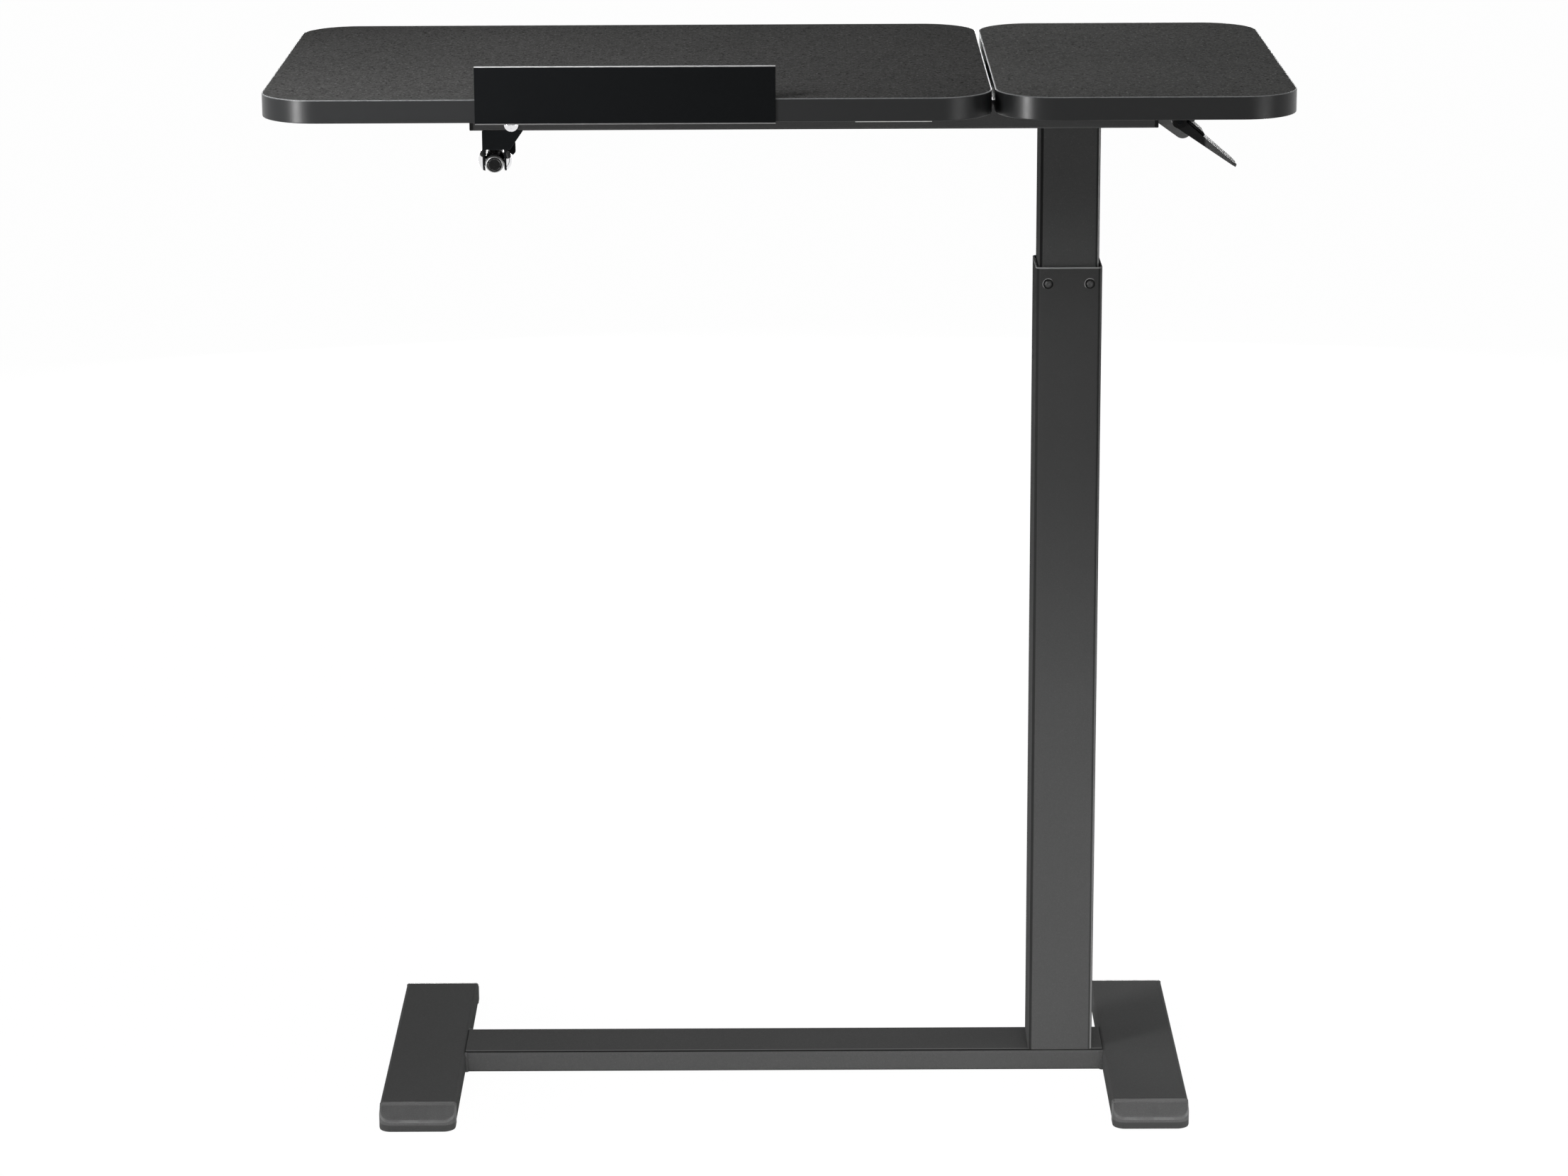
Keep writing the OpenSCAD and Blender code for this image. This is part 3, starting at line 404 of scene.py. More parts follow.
def powder_finish(name, value, grain, gloss, specular, wear_and_highlight, *marks):
    """Powder coat: orange peel, dark and pale specks, uneven sheen, edges a little paler, partly
    worn and partly a painted highlight.
    """
    look = Finish(name)
    peel = look.noise(grain, 2.0, 0.55)
    fine = look.noise(grain * 0.32, 2.0, 0.6, offset=4.0)
    speck = look.noise(grain * 0.8, 1.0, 0.5, offset=8.3).step(0.64, 0.74)
    drift = look.noise(60 * MM, 3.0, 0.5, offset=6.1)
    mask = (0.40 * fine + 0.32 * peel + 0.30 * speck + 0.10 * (drift - 0.5)).limited()
    base = look.between(tone(value, 0.70), tone(value, 1.55), mask)
    # Paler edges: partly worn coat, partly a painted highlight.
    rubbed = look.rubbed() * wear_and_highlight
    coat = look.marked(look.between(base, tone(value, 2.6), rubbed), marks)
    roughness = gloss + 0.12 * (fine - 0.5) + 0.04 * (drift - 0.5) - 0.12 * rubbed
    height = peel + 0.35 * fine
    return look.close(coat, roughness, height, 0.05 * MM, {"Specular IOR Level": specular})


def moulded_finish(name, value, grain, gloss, specular, depth, *marks):
    """Moulding with spark-eroded grain, a faint flow pattern and polished high spots, whose paleness
    is partly a painted highlight.
    """
    look = Finish(name)
    pebble = look.cells(grain)
    fine = look.noise(grain * 0.6, 3.0, 0.65)
    flow = look.noise(9 * MM, 2.0, 0.6, place=look.stretched(1.0, 0.35, 1.0), offset=5.0)
    mask = (0.35 * pebble + 0.45 * fine + 0.40 * (flow - 0.5)).limited()
    base = look.marked(look.between(tone(value, 0.70), tone(value, 1.50), mask), marks)
    # Paler edges: partly polished moulding, partly a painted highlight.
    rubbed = look.rubbed()
    skin = look.between(base, tone(value, 2.0), rubbed * 0.5)
    roughness = gloss + 0.14 * (fine - 0.5) + 0.08 * (flow - 0.5) - 0.10 * rubbed
    height = 0.7 * pebble + 0.5 * fine
    return look.close(skin, roughness, height, depth, {"Specular IOR Level": specular})


def rubber_finish(name, value):
    """Rubber: matt, dusty in its low spots."""
    look = Finish(name)
    dust = look.noise(3 * MM, 4.0, 0.6)
    fine = look.noise(0.5 * MM, 2.0, 0.6, offset=2.0)
    mask = (dust.step(0.45, 0.75) * 0.5 + 0.2 * fine).limited()
    base = look.between(tone(value, 0.8), tone(value, 2.6), mask)
    height = dust + 0.5 * fine
    return look.close(base, 0.80 + 0.12 * fine, height, 0.08 * MM, {"Specular IOR Level": 0.25})


def chrome_finish(name, value):
    """Chrome plate: near mirror, with a breath of haze and hairline scratches."""
    look = Finish(name)
    haze = look.noise(6 * MM, 3.0, 0.6)
    stroke = look.noise(0.35 * MM, 2.0, 0.7, place=look.stretched(0.12, 1.0, 1.0), offset=3.0)
    scratch = stroke.step(0.62, 0.76)
    mask = (0.5 * haze + 0.4 * scratch).limited()
    base = look.between(tone(value, 1.04), tone(value, 0.86), mask)
    roughness = 0.05 + 0.08 * haze + 0.16 * scratch
    height = haze * 0.3 - scratch * 0.4
    return look.close(base, roughness, height, 0.006 * MM, {"IOR": 2.0}, 1.0 - 0.03 * scratch)


def zinc_finish(name, value):
    """Zinc plate: soft spangle, a pale straw and blue bloom, and duller hollows."""
    look = Finish(name)
    spangle = look.cells(2.4 * MM)
    bloom = look.noise(7 * MM, 3.0, 0.6)
    fine = look.noise(0.6 * MM, 2.0, 0.6, offset=4.4)
    bluish, straw = (1.0, 1.01, 1.04), (1.06, 1.0, 0.84)
    mask = (0.5 * spangle + 0.5 * fine).limited()
    plate = look.between(tone(value, 0.80), tone(value, 1.18, bluish), mask)
    base = look.between(plate, tone(value, 1.0, straw), bloom.step(0.50, 0.78) * 0.5)
    roughness = 0.28 + 0.14 * fine + 0.10 * bloom
    height = fine + 0.4 * spangle
    return look.close(base, roughness, height, 0.02 * MM, {"IOR": 2.2}, 0.92 + 0.06 * fine)


def frame_coat(name, *marks):
    return powder_finish(name, slot_colour("frame_paint"), 1.3 * MM, 0.52, 0.0, 0.7, *marks)


def black_paint(name, factor, gloss, specular, *marks):
    value = slot_colour("stop_paint", factor)
    return powder_finish(name, value, 1.6 * MM, gloss, specular, 0.9, *marks)


# Each look: its maker and what the maker takes.
LOOKS = {
    "main_laminate": lambda: laminate_finish(
        "charcoal laminate of the main board", slot_colour("board_laminate")),
    # Painted light: the side board takes the main board's laminate made 1.42 times lighter, in place
    # of the extra light it gets.
    "side_laminate": lambda: laminate_finish(
        "charcoal laminate of the side board", slot_colour("board_laminate", 1.42)),
    "edge_band": lambda: band_finish("satin edge band", slot_colour("edge_band")),
    "frame_paint": lambda: frame_coat("charcoal powder coat"),
    "outer_tube_paint": lambda: frame_coat(
        "charcoal powder coat of the outer tube",
        # Painted shade over the upper part of the outer tube.
        painted_shade_above(0.28, 0.56, slot_colour("frame_paint")),
        # Painted shade: dark lines at the left corner and inside the right one. Painted highlight: a
        # pale line at the right corner.
        painted_corner_lines("outer_column", 0.013, (0.10, 0.75, 1.0), (-0.85, -0.50, 0.6)),
        painted_corner_lines("outer_column", 0.095, (-0.45, -0.12, 1.0)),
        rubbed_rim("outer_column", 1.3 * MM, 0.17),
        # Painted shadow in the gap round each button, and a painted highlight on the upper left of
        # each hole's rim.
        painted_hole_ring(2.5, 4.0, 0.002), painted_hole_ring(4.0, 4.7, 0.14, leaning=True)),
    "inner_tube_paint": lambda: frame_coat(
        "charcoal powder coat of the inner tube",
        # Painted shade: dark lines at the left corner and inside the right one. Painted highlight: a
        # pale line at the right corner.
        painted_corner_lines("inner_column", 0.008, (0.10, 0.75, 1.0), (-0.85, -0.50, 0.6)),
        painted_corner_lines("inner_column", 0.26, (-0.45, -0.12, 1.0))),
    "crossbar_paint": lambda: frame_coat(
        "charcoal powder coat of the crossbar",
        # Painted shade: a dark line just behind the crossbar's front edge. Painted highlight: a pale
        # line behind it.
        painted_ledge_line("crossbar", 0.008, 0.6 * MM, 3.2 * MM, 0.8 * MM, 0.4 * MM),
        painted_ledge_line("crossbar", 0.070, 3.2 * MM, 5.2 * MM, 0.3 * MM, 0.1 * MM)),
    # Painted light: the frame's powder coat made 2.9 times lighter for a bracket that sits in shade
    # under the board; its front half stays black.
    "lever_bracket_paint": lambda: powder_finish(
        "pale grey powder coat of the lever bracket", slot_colour("frame_paint", 2.9), 1.3 * MM,
        0.50, 0.05, 0.5, dark_front("lever_bracket", 0.005)),
    "under_paint": lambda: powder_finish(
        "black powder coat", slot_colour("under_paint"), 1.0 * MM, 0.50, 0.05, 0.6),
    "stop_paint": lambda: black_paint("smooth black paint", 1.0, 0.40, 0.03),
    "stop_sheet_paint": lambda: black_paint(
        "smooth black paint with rubbed edges", 0.5, 0.40, 0.03,
        rubbed_rim("laptop_stop", 1.1 * MM, 0.22), pale_fold("laptop_stop", 1.4 * MM, 0.16)),
    "stay_bracket_paint": lambda: black_paint(
        "worn black paint of the stay bracket", 1.6, 0.40, 0.03),
    "stay_tube_paint": lambda: black_paint("glossy black enamel", 1.0, 0.22, 0.35),
    "end_cap_plastic": lambda: moulded_finish(
        "grained cap moulding", slot_colour("end_cap_plastic"), 0.9 * MM, 0.44, 0.03, 0.05 * MM,
        coarse_skirt("foot_end_caps", 6.6 * MM, slot_colour("end_cap_plastic"))),
    "black_plastic": lambda: moulded_finish(
        "matt black moulding", slot_colour("black_plastic"), 0.6 * MM, 0.50, 0.03, 0.03 * MM),
    "nylon": lambda: moulded_finish(
        "black nylon", slot_colour("nylon"), 0.8 * MM, 0.40, 0.10, 0.02 * MM),
    "button_nylon": lambda: moulded_finish(
        "grey button nylon", grey(0.030)[:3], 0.8 * MM, 0.36, 0.15, 0.02 * MM),
    "lever_plastic": lambda: moulded_finish(
        "satin lever moulding", slot_colour("lever_plastic"), 0.7 * MM, 0.42, 0.03, 0.012 * MM,
        # Painted shade on the lever near its root.
        painted_shade_at_root("lever_block", 2 * MM, 0.006)),
    "rubber": lambda: rubber_finish("foot rubber", slot_colour("rubber")),
    "chrome": lambda: chrome_finish("chrome plate", slot_colour("chrome")),
    "zinc": lambda: zinc_finish("zinc plate", slot_colour("zinc")),
    "end_ring_plate": lambda: zinc_finish(
        "dull plate of the stay's end ring", (0.34, 0.34, 0.335)),
}
made_finishes = {}


def finish(look):
    if look not in made_finishes:
        made_finishes[look] = LOOKS[look]()
    return made_finishes[look]


def paint_nodes(*names):
    """Gives CAD nodes that stay in view the procedural finish of their own slot."""
    for name in names:
        for wearer in frame["nodes"][name].material_slots:
            wearer.material = finish(wearer.material.name.split(".")[0])


# Meshes


DOUBLES = 0.002 * MM
OWN_DOUBLES = 0.0005 * MM
FLAT_WITHIN = math.radians(0.3)
ROUNDED_FROM = math.radians(25.0)


def new_piece(name, mesh):
    piece = bpy.data.objects.new(name, mesh)
    bpy.context.scene.collection.objects.link(piece)
    return piece


def mesh_piece(name, shell):
    """A piece from an edit mesh, which it uses up."""
    mesh = bpy.data.meshes.new(name)
    shell.to_mesh(mesh)
    shell.free()
    return new_piece(name, mesh)


def piece_from_faces(name, points, faces, worn=()):
    """A piece from points and faces, with its doubles merged and its faces turned outwards. Worn is
    the attribute edge of each face."""
    mesh = bpy.data.meshes.new(name)
    mesh.from_pydata(points, [], faces)
    if worn:
        mesh.attributes.new("edge", "FLOAT", "FACE").data.foreach_set("value", worn)
    shell = bmesh.new()
    shell.from_mesh(mesh)
    bpy.data.meshes.remove(mesh)
    bmesh.ops.remove_doubles(shell, verts=shell.verts, dist=OWN_DOUBLES)
    bmesh.ops.recalc_face_normals(shell, faces=shell.faces)
    return mesh_piece(name, shell)


def joined(name, pieces):
    """One piece from several, with their meshes kept."""
    shell = bmesh.new()
    for piece in pieces:
        shell.from_mesh(piece.data)
        bpy.data.objects.remove(piece)
    return mesh_piece(name, shell)


def settle(piece):
    """Turns a piece's modifiers into its plain mesh, once."""
    bpy.context.view_layer.update()
    graph = bpy.context.evaluated_depsgraph_get()
    source = piece.evaluated_get(graph)
    mesh = bpy.data.meshes.new_from_object(source, preserve_all_data_layers=True, depsgraph=graph)
    piece.modifiers.clear()
    piece.data = mesh


def shade(piece, degrees=32.0, weighted=True):
    """Smooth shading that stops at sharp edges, with the broad faces kept flat."""
    for face in piece.data.polygons:
        face.use_smooth = True
    piece.data.set_sharp_from_angle(angle=math.radians(degrees))
    if weighted:
        flat = piece.modifiers.new("Broad faces", "WEIGHTED_NORMAL")
        flat.keep_sharp = True
        flat.weight = 80
        settle(piece)


def place_piece(piece, body, slot, *nodes, look=None):
    """Gives a finished piece its finish and its body, and hides the CAD nodes that it stands for."""
    piece.data.materials.clear()
    piece.data.materials.append(finish(look or slot))
    if nodes:
        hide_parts(*nodes)
    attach(piece, body)


def merged_copy(node):
    """Edit mesh of a CAD node with its doubles merged, which the caller frees."""
    shell = bmesh.new()
    shell.faces.layers.float.new("edge")
    shell.from_mesh(frame["nodes"][node].data)
    bmesh.ops.remove_doubles(shell, verts=shell.verts, dist=DOUBLES)
    return shell


def soften_nodes(body, slot, width, *nodes, segments=2, look=None):
    """Replaces CAD nodes with copies that have whole flat faces and edges rounded by width."""
    for node in nodes:
        shell = merged_copy(node)
        edge = shell.faces.layers.float["edge"]
        bmesh.ops.dissolve_limit(shell, angle_limit=FLAT_WITHIN, verts=shell.verts,
                                 edges=shell.edges)
        sharp = [e for e in shell.edges
                 if len(e.link_faces) == 2 and e.calc_face_angle(0.0) > ROUNDED_FROM]
        rounded = bmesh.ops.bevel(
            shell, geom=sharp, offset=width, offset_type="OFFSET", segments=segments, profile=0.5,
            affect="EDGES", clamp_overlap=True, material=-1, loop_slide=False)
        for face in rounded["faces"]:
            face[edge] = 1.0
        piece = mesh_piece(node + "_dressed", shell)
        shade(piece)
        place_piece(piece, body, slot, node, look=look)


def arc(x, y, radius, start, stop, steps):
    """Points along an arc round (x, y), from the angle start to the angle stop in degrees."""
    turns = [math.radians(start + (stop - start) * i / steps) for i in range(steps + 1)]
    return [(x + radius * math.cos(t), y + radius * math.sin(t)) for t in turns]


def quarter(radius, steps=4):
    """Offsets (in from the side, down from the top) along a rounded edge, from top to side."""
    turns = [math.pi / 2 * i / steps for i in range(steps + 1)]
    return [(radius * (1 - math.sin(t)), radius * (1 - math.cos(t))) for t in turns]


def ring_faces(rings, count, closed):
    """Quads between rings of points, all of the same count. Closed rings lead back to the first."""
    faces = []
    for r in range(rings if closed else rings - 1):
        a, b = r * count, (r + 1) % rings * count
        faces += [(a + i, a + (i + 1) % count, b + (i + 1) % count, b + i) for i in range(count)]
    return faces


def lofted(name, rings, closed=False, capped=False):
    """A piece through rings of points, with its first and last ring filled where it is capped."""
    count = len(rings[0])
    faces = ring_faces(len(rings), count, closed)
    if capped:
        faces += [tuple(range(count)), tuple(range((len(rings) - 1) * count, len(rings) * count))]
    piece = piece_from_faces(name, [point for ring in rings for point in ring], faces)
    shade(piece)
    return piece


def board_rings(node, levels):
    """Rings round a board's rounded outline, one for each (inset, height)."""
    low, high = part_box(node)
    radius = corner_radius(node)
    rings = []
    for inset, z in levels:
        r = radius - inset
        corners = ((high.x - radius, low.y + radius), (high.x - radius, high.y - radius),
                   (low.x + radius, high.y - radius), (low.x + radius, low.y + radius))
        rings.append([(x, y, z) for i, (cx, cy) in enumerate(corners)
                      for x, y in arc(cx, cy, r, 90 * i - 90, 90 * i, 14)])
    return rings


def revolved(name, profile, origin, axis, steps=56):
    """Solid of revolution: profile lists (place along the axis, radius). It ends at radius 0, or
    where it starts, which makes a ring."""
    along = Vector(axis).normalized()
    across = along.orthogonal().normalized()
    other = along.cross(across)
    ring = profile[0] == profile[-1]
    turns = [2 * math.pi * i / steps for i in range(steps)]
    rings = [[Vector(origin) + along * place
              + (across * math.cos(turn) + other * math.sin(turn)) * radius for turn in turns]
             for place, radius in (profile[:-1] if ring else profile)]
    return lofted(name, rings, closed=ring)


def corner_radius(node):
    """Radius of the rounded upright corners of a CAD node, from where its left side ends."""
    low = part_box(node)[0]
    on_side = [v.co.y for v in frame["nodes"][node].data.vertices
               if abs(v.co.x - low.x) < 0.001 * MM]
    return min(on_side) - low.y


def islands(node):
    """Lowest and highest corner of each separate solid of a CAD node."""
    shell = merged_copy(node)
    left = set(shell.verts)
    found = []
    while left:
        stack = [left.pop()]
        island = list(stack)
        while stack:
            near = {v for edge in stack.pop().link_edges for v in edge.verts} & left
            left -= near
            stack += near
            island += near
        found.append([Vector([pick(v.co[i] for v in island) for i in range(3)])
                      for pick in (min, max)])
    shell.free()
    return sorted(found, key=lambda pair: tuple(pair[0]))


def hole_centres():
    """Centres of the outer tube's holes, from the front ends of the glide's buttons."""
    low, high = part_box("upper_glide")
    front = [v.co for v in frame["nodes"]["upper_glide"].data.vertices
             if v.co.y < low.y + 0.01 * MM]
    middle = (low.x + high.x) / 2
    centres = []
    for side in (-1, 1):
        rim = [p for p in front if (p.x - middle) * side > 0]
        centres.append([(min(places) + max(places)) / 2
                        for places in ([p.x for p in rim], [p.z for p in rim])])
    return centres


def reach(node, origin, axis):
    """Places along an axis where a CAD node starts and ends."""
    along = Vector(axis).normalized()
    places = [(v.co - Vector(origin)).dot(along) for v in frame["nodes"][node].data.vertices]
    return min(places), max(places)


# Geometry node trees


def new_tree(name, inputs):
    """A geometry tree with named inputs: its graph, and each input's wire and socket identifier."""
    tree = bpy.data.node_groups.new(name, "GeometryNodeTree")
    tree.interface.new_socket(name="Geometry", in_out="OUTPUT",
                              socket_type="NodeSocketGeometry")
    kinds = {"Geometry": "NodeSocketGeometry", "Finish": "NodeSocketMaterial",
             "Seed": "NodeSocketInt"}
    identifiers = {}
    for label, default in [("Geometry", None), *inputs.items(), ("Finish", None)]:
        socket = tree.interface.new_socket(name=label, in_out="INPUT",
                                           socket_type=kinds.get(label, "NodeSocketFloat"))
        if default is not None:
            socket.default_value = default
        identifiers[label] = socket.identifier
    graph = Graph(tree)
    entry = tree.nodes.new("NodeGroupInput")
    wires = {label: Wire(graph, entry.outputs[label]) for label in identifiers}
    return graph, wires, identifiers


def end_tree(graph, geometry, material):
    """Ends a tree: instances become real and take their material."""
    real = graph.add("GeometryNodeRealizeInstances", None, {"Geometry": geometry})
    painted = graph.add("GeometryNodeSetMaterial", None, {"Geometry": real, "Material": material})
    leaving = graph.tree.nodes.new("NodeGroupOutput")
    graph.tree.links.new(painted.socket, leaving.inputs["Geometry"])


def joined_geometry(graph, *parts):
    together = graph.add("GeometryNodeJoinGeometry")
    for part in parts:
        graph.tree.links.new(part.socket, together.socket.node.inputs[0])
    return together


def lifted(graph, geometry, height):
    offset = graph.add("ShaderNodeCombineXYZ", None, {"Z": height})
    return graph.add("GeometryNodeTransform", None, {"Geometry": geometry, "Translation": offset})


def stand_on_points(graph, wires, instance):
    """Instances on the points of the tree's input, along the attribute outward, each turned about
    it by a seeded angle."""
    points = graph.add("GeometryNodeMeshToPoints", None, {"Mesh": wires["Geometry"]})
    outward = graph.add("GeometryNodeInputNamedAttribute", {"data_type": "FLOAT_VECTOR"},
                        {"Name": "outward"})
    lean = graph.add("FunctionNodeAlignRotationToVector", {"axis": "Z"}, {"Vector": outward})
    angle = graph.add("FunctionNodeRandomValue", {"data_type": "FLOAT"},
                      {2: 0.0, 3: math.pi, "Seed": wires["Seed"]}, output=1)
    turn = graph.add("FunctionNodeAxisAngleToRotation", None,
                     {"Axis": (0.0, 0.0, 1.0), "Angle": angle})
    both = graph.add("FunctionNodeRotateRotation", {"rotation_space": "LOCAL"},
                     {"Rotation": lean, "Rotate By": turn})
    return graph.add("GeometryNodeInstanceOnPoints", None,
                     {"Points": points, "Instance": instance, "Rotation": both})


def crowned(graph, radius, height, crown, dimple):
    """Disc on z = 0 whose top falls away to its rim. The dimple dishes it in the middle, over the
    share dish of its radius. What is lower than the share flat of its height stays as it is."""
    dish, flat = 0.42, 0.1
    body = graph.add("GeometryNodeMeshCylinder", {"fill_type": "NGON"},
                     {"Vertices": 36, "Side Segments": 3, "Fill Segments": 5,
                      "Radius": radius, "Depth": height})
    x = graph.add("ShaderNodeSeparateXYZ", None,
                  {"Vector": graph.add("GeometryNodeInputPosition")})
    y, z = x.pick("Y"), x.pick("Z")
    out = ((x * x + y * y) ** 0.5) / radius
    upper = graph.math("GREATER_THAN", z, height * flat)
    hollow = (1.0 - graph.math("MINIMUM", out / dish, 1.0) ** 2.0) * dimple
    fall = (out ** 3.0 * crown + hollow) * height * upper
    offset = graph.add("ShaderNodeCombineXYZ", None, {"Z": 0.5 * height - fall})
    return graph.add("GeometryNodeSetPosition", None, {"Geometry": body, "Offset": offset})


def screw_tree():
    """Screws on points: a crowned head with a cross recess, and a shank behind it."""
    graph, wires, identifiers = new_tree("Screws", {
        "Head Radius": 4 * MM, "Head Height": 2 * MM, "Crown": 0.35, "Recess Width": 0.56,
        "Shank Radius": 2 * MM, "Shank Length": 10 * MM, "Seed": 7})
    radius, height, width = wires["Head Radius"], wires["Head Height"], wires["Recess Width"]
    arm_share, floor_share = 0.30, 0.95
    head = crowned(graph, radius, height, wires["Crown"], 0.0)
    long_side, short_side = 2.0 * radius * width, radius * width * arm_share
    arms = []
    for x, y in ((long_side, short_side), (short_side, long_side)):
        size = graph.add("ShaderNodeCombineXYZ", None, {"X": x, "Y": y, "Z": height})
        arms.append(graph.add("GeometryNodeMeshCube", None, {"Size": size}))
    cutter = lifted(graph, joined_geometry(graph, *arms), height * floor_share)
    slotted = graph.add("GeometryNodeMeshBoolean", {"operation": "DIFFERENCE", "solver": "EXACT"},
                        {"Mesh 1": head, "Mesh 2": cutter, "Self Intersection": True})
    shank = graph.add("GeometryNodeMeshCylinder", {"fill_type": "NGON"},
                      {"Vertices": 20, "Radius": wires["Shank Radius"],
                       "Depth": wires["Shank Length"]})
    below = lifted(graph, shank, wires["Shank Length"] * -0.5)
    screw = joined_geometry(graph, below, slotted)
    end_tree(graph, stand_on_points(graph, wires, screw), wires["Finish"])
    return graph.tree, identifiers


def button_tree():
    """Snap buttons on points: crowned discs with a gate dimple in the middle."""
    graph, wires, identifiers = new_tree("Snap buttons", {
        "Radius": 3 * MM, "Height": 1.4 * MM, "Crown": 0.5, "Dimple": 0.28, "Seed": 3})
    button = crowned(graph, wires["Radius"], wires["Height"], wires["Crown"], wires["Dimple"])
    end_tree(graph, stand_on_points(graph, wires, button), wires["Finish"])
    return graph.tree, identifiers


def weld_tree():
    """Weld beads along edges: a rippled, uneven tube with closed ends, wider at its start."""
    graph, wires, identifiers = new_tree("Weld beads", {
        "Bead Radius": 2 * MM, "Ripple Pitch": 1.5 * MM, "Ripple": 0.09, "Spread": 0.25,
        "Seed": 11})
    pitch = wires["Ripple Pitch"]
    step_share, lumps_per_metre, unevenness = 0.2, 260.0, 0.5
    line = graph.add("GeometryNodeMeshToCurve", None, {"Mesh": wires["Geometry"]})
    fine = graph.add("GeometryNodeResampleCurve", {"mode": "LENGTH"},
                     {"Curve": line, "Length": pitch * step_share})
    along = graph.add("GeometryNodeSplineParameter")
    phase = along.pick("Length") / pitch * (2 * math.pi)
    ripple = graph.math("SINE", phase) * wires["Ripple"]
    uneven = graph.add("ShaderNodeTexNoise", {"noise_dimensions": "4D"},
                       {"W": wires["Seed"], "Scale": lumps_per_metre, "Detail": 2.0})
    width = 1.0 + ripple + (uneven - 0.5) * unevenness + (0.5 - along) * wires["Spread"]
    ring = graph.add("GeometryNodeCurvePrimitiveCircle", {"mode": "RADIUS"},
                     {"Resolution": 16, "Radius": wires["Bead Radius"]})
    bead = graph.add("GeometryNodeCurveToMesh", None,
                     {"Curve": fine, "Profile Curve": ring, "Scale": width, "Fill Caps": True})
    end_tree(graph, bead, wires["Finish"])
    return graph.tree, identifiers


made_trees = {}


def grow(piece, maker, values):
    """Runs a geometry tree on a piece and keeps the result as its plain mesh."""
    if maker not in made_trees:
        made_trees[maker] = maker()
    tree, identifiers = made_trees[maker]
    modifier = piece.modifiers.new(tree.name, "NODES")
    modifier.node_group = tree
    for label, value in values.items():
        modifier[identifiers[label]] = value
    settle(piece)


def points_piece(name, places, edges=(), outward=()):
    """Points, the edges between them, and the direction that what stands on each of them faces."""
    mesh = bpy.data.meshes.new(name)
    mesh.from_pydata(places, edges, [])
    if outward:
        directions = mesh.attributes.new("outward", "FLOAT_VECTOR", "POINT")
        directions.data.foreach_set("vector", [part for facing in outward for part in facing])
    return new_piece(name, mesh)


# Pieces


def board_top(side, body):
    """Laminate panel and edge band of one board, in the place of its two CAD nodes."""
    node = side + "_edge_band"
    low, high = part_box(node)
    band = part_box(side + "_board")[0].x - low.x
    joint = sizes().band_joint
    arris = quarter(sizes().band_arris)
    levels = [(band, high.z - joint), (band - joint, high.z)]
    levels += [(inset, high.z - drop) for inset, drop in arris]
    levels += [(inset, low.z + drop) for inset, drop in reversed(arris)]
    levels += [(band - joint, low.z), (band, low.z + joint)]
    edging = lofted(side + "_edging", board_rings(node, levels), closed=True)
    place_piece(edging, body, "edge_band", node)
    levels = [(band + joint, high.z), (band, high.z - joint), (band, low.z + joint),
              (band + joint, low.z)]
    panel = lofted(side + "_panel", board_rings(node, levels), capped=True)
    place_piece(panel, body, "board_laminate", side + "_board", look=side + "_laminate")


def stop_section(low, high, sheet):
    """Section of the folded stop as (y, z), with its bend rounded and its cut edges eased."""
    bend, ease = sizes().fold_radius, sizes().sheet_edge
    y, z = low.y + bend, low.z + bend
    return (arc(y, z, bend, 180, 270, 8)
            + [(high.y - ease, low.z), (high.y, low.z + ease), (high.y, low.z + sheet - ease),
               (high.y - ease, low.z + sheet)]
            + arc(y, z, bend - sheet, 270, 180, 6)
            + [(low.y + sheet, high.z - ease), (low.y + sheet * 0.8, high.z - 0.25 * ease),
               (low.y + sheet / 2, high.z), (low.y + sheet * 0.2, high.z - 0.25 * ease),
               (low.y, high.z - ease)])


def drawn_in(y, z, low, high, sheet, ease):
    """A point of the stop's section drawn in by ease, for the section at the sheet's side edge."""
    top = min(z, high.z - ease)
    if z > low.z + 2 * sheet:
        y = min(max(y, low.y + ease), low.y + sheet - ease)
    else:
        ceiling = max(low.z + sheet - ease, top if y < low.y + 2 * sheet else 0.0)
        top = min(max(top, low.z + ease), ceiling)
        y = max(y, low.y + ease)
    return y, top


def stop_sheet():
    low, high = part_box("laptop_stop")
    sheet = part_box("main_board")[0].z - low.z
    ease = sizes().sheet_edge
    section = stop_section(low, high, sheet)
    rings = [[(x, *drawn_in(y, z, low, high, sheet, shrink)) for y, z in section]
             for x, shrink in ((low.x, ease), (low.x + ease, 0.0), (high.x - ease, 0.0),
                               (high.x, ease))]
    piece = lofted("stop_sheet", rings, capped=True)
    place_piece(piece, "tilt_top", "stop_paint", "laptop_stop", look="stop_sheet_paint")


def weld_beads():
    """Beads up the front and rear corners where the crossbar meets the feet. Each turns in over
    the crossbar's top edge at its upper end."""
    low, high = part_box("crossbar")
    radius = sizes().weld_radius
    sink_in, sink_out = 0.225 * radius, 0.135 * radius
    foot, bend, tip, tuck = 1.2 * MM, 1.6 * MM, 0.5 * MM, 0.9 * MM
    points = []
    for left, inwards in ((low.x, 1), (high.x, -1)):
        for front, out in ((low.y, -1), (high.y, 1)):
            x, y = left + inwards * sink_in, front + out * sink_out
            points += [(x, y, low.z + foot), (x, y, high.z - bend),
                       (x, y - out * tuck, high.z - tip)]
    edges = [(i + j, i + j + 1) for i in range(0, len(points), 3) for j in (0, 1)]
    piece = points_piece("corner_welds", points, edges)
    grow(piece, weld_tree, {
        "Bead Radius": radius * 0.9, "Ripple Pitch": sizes().weld_pitch, "Ripple": 0.07,
        "Spread": 0.45, "Seed": 11, "Finish": finish("frame_paint")})
    shade(piece, 60.0, weighted=False)
    place_piece(piece, "base", "frame_paint")


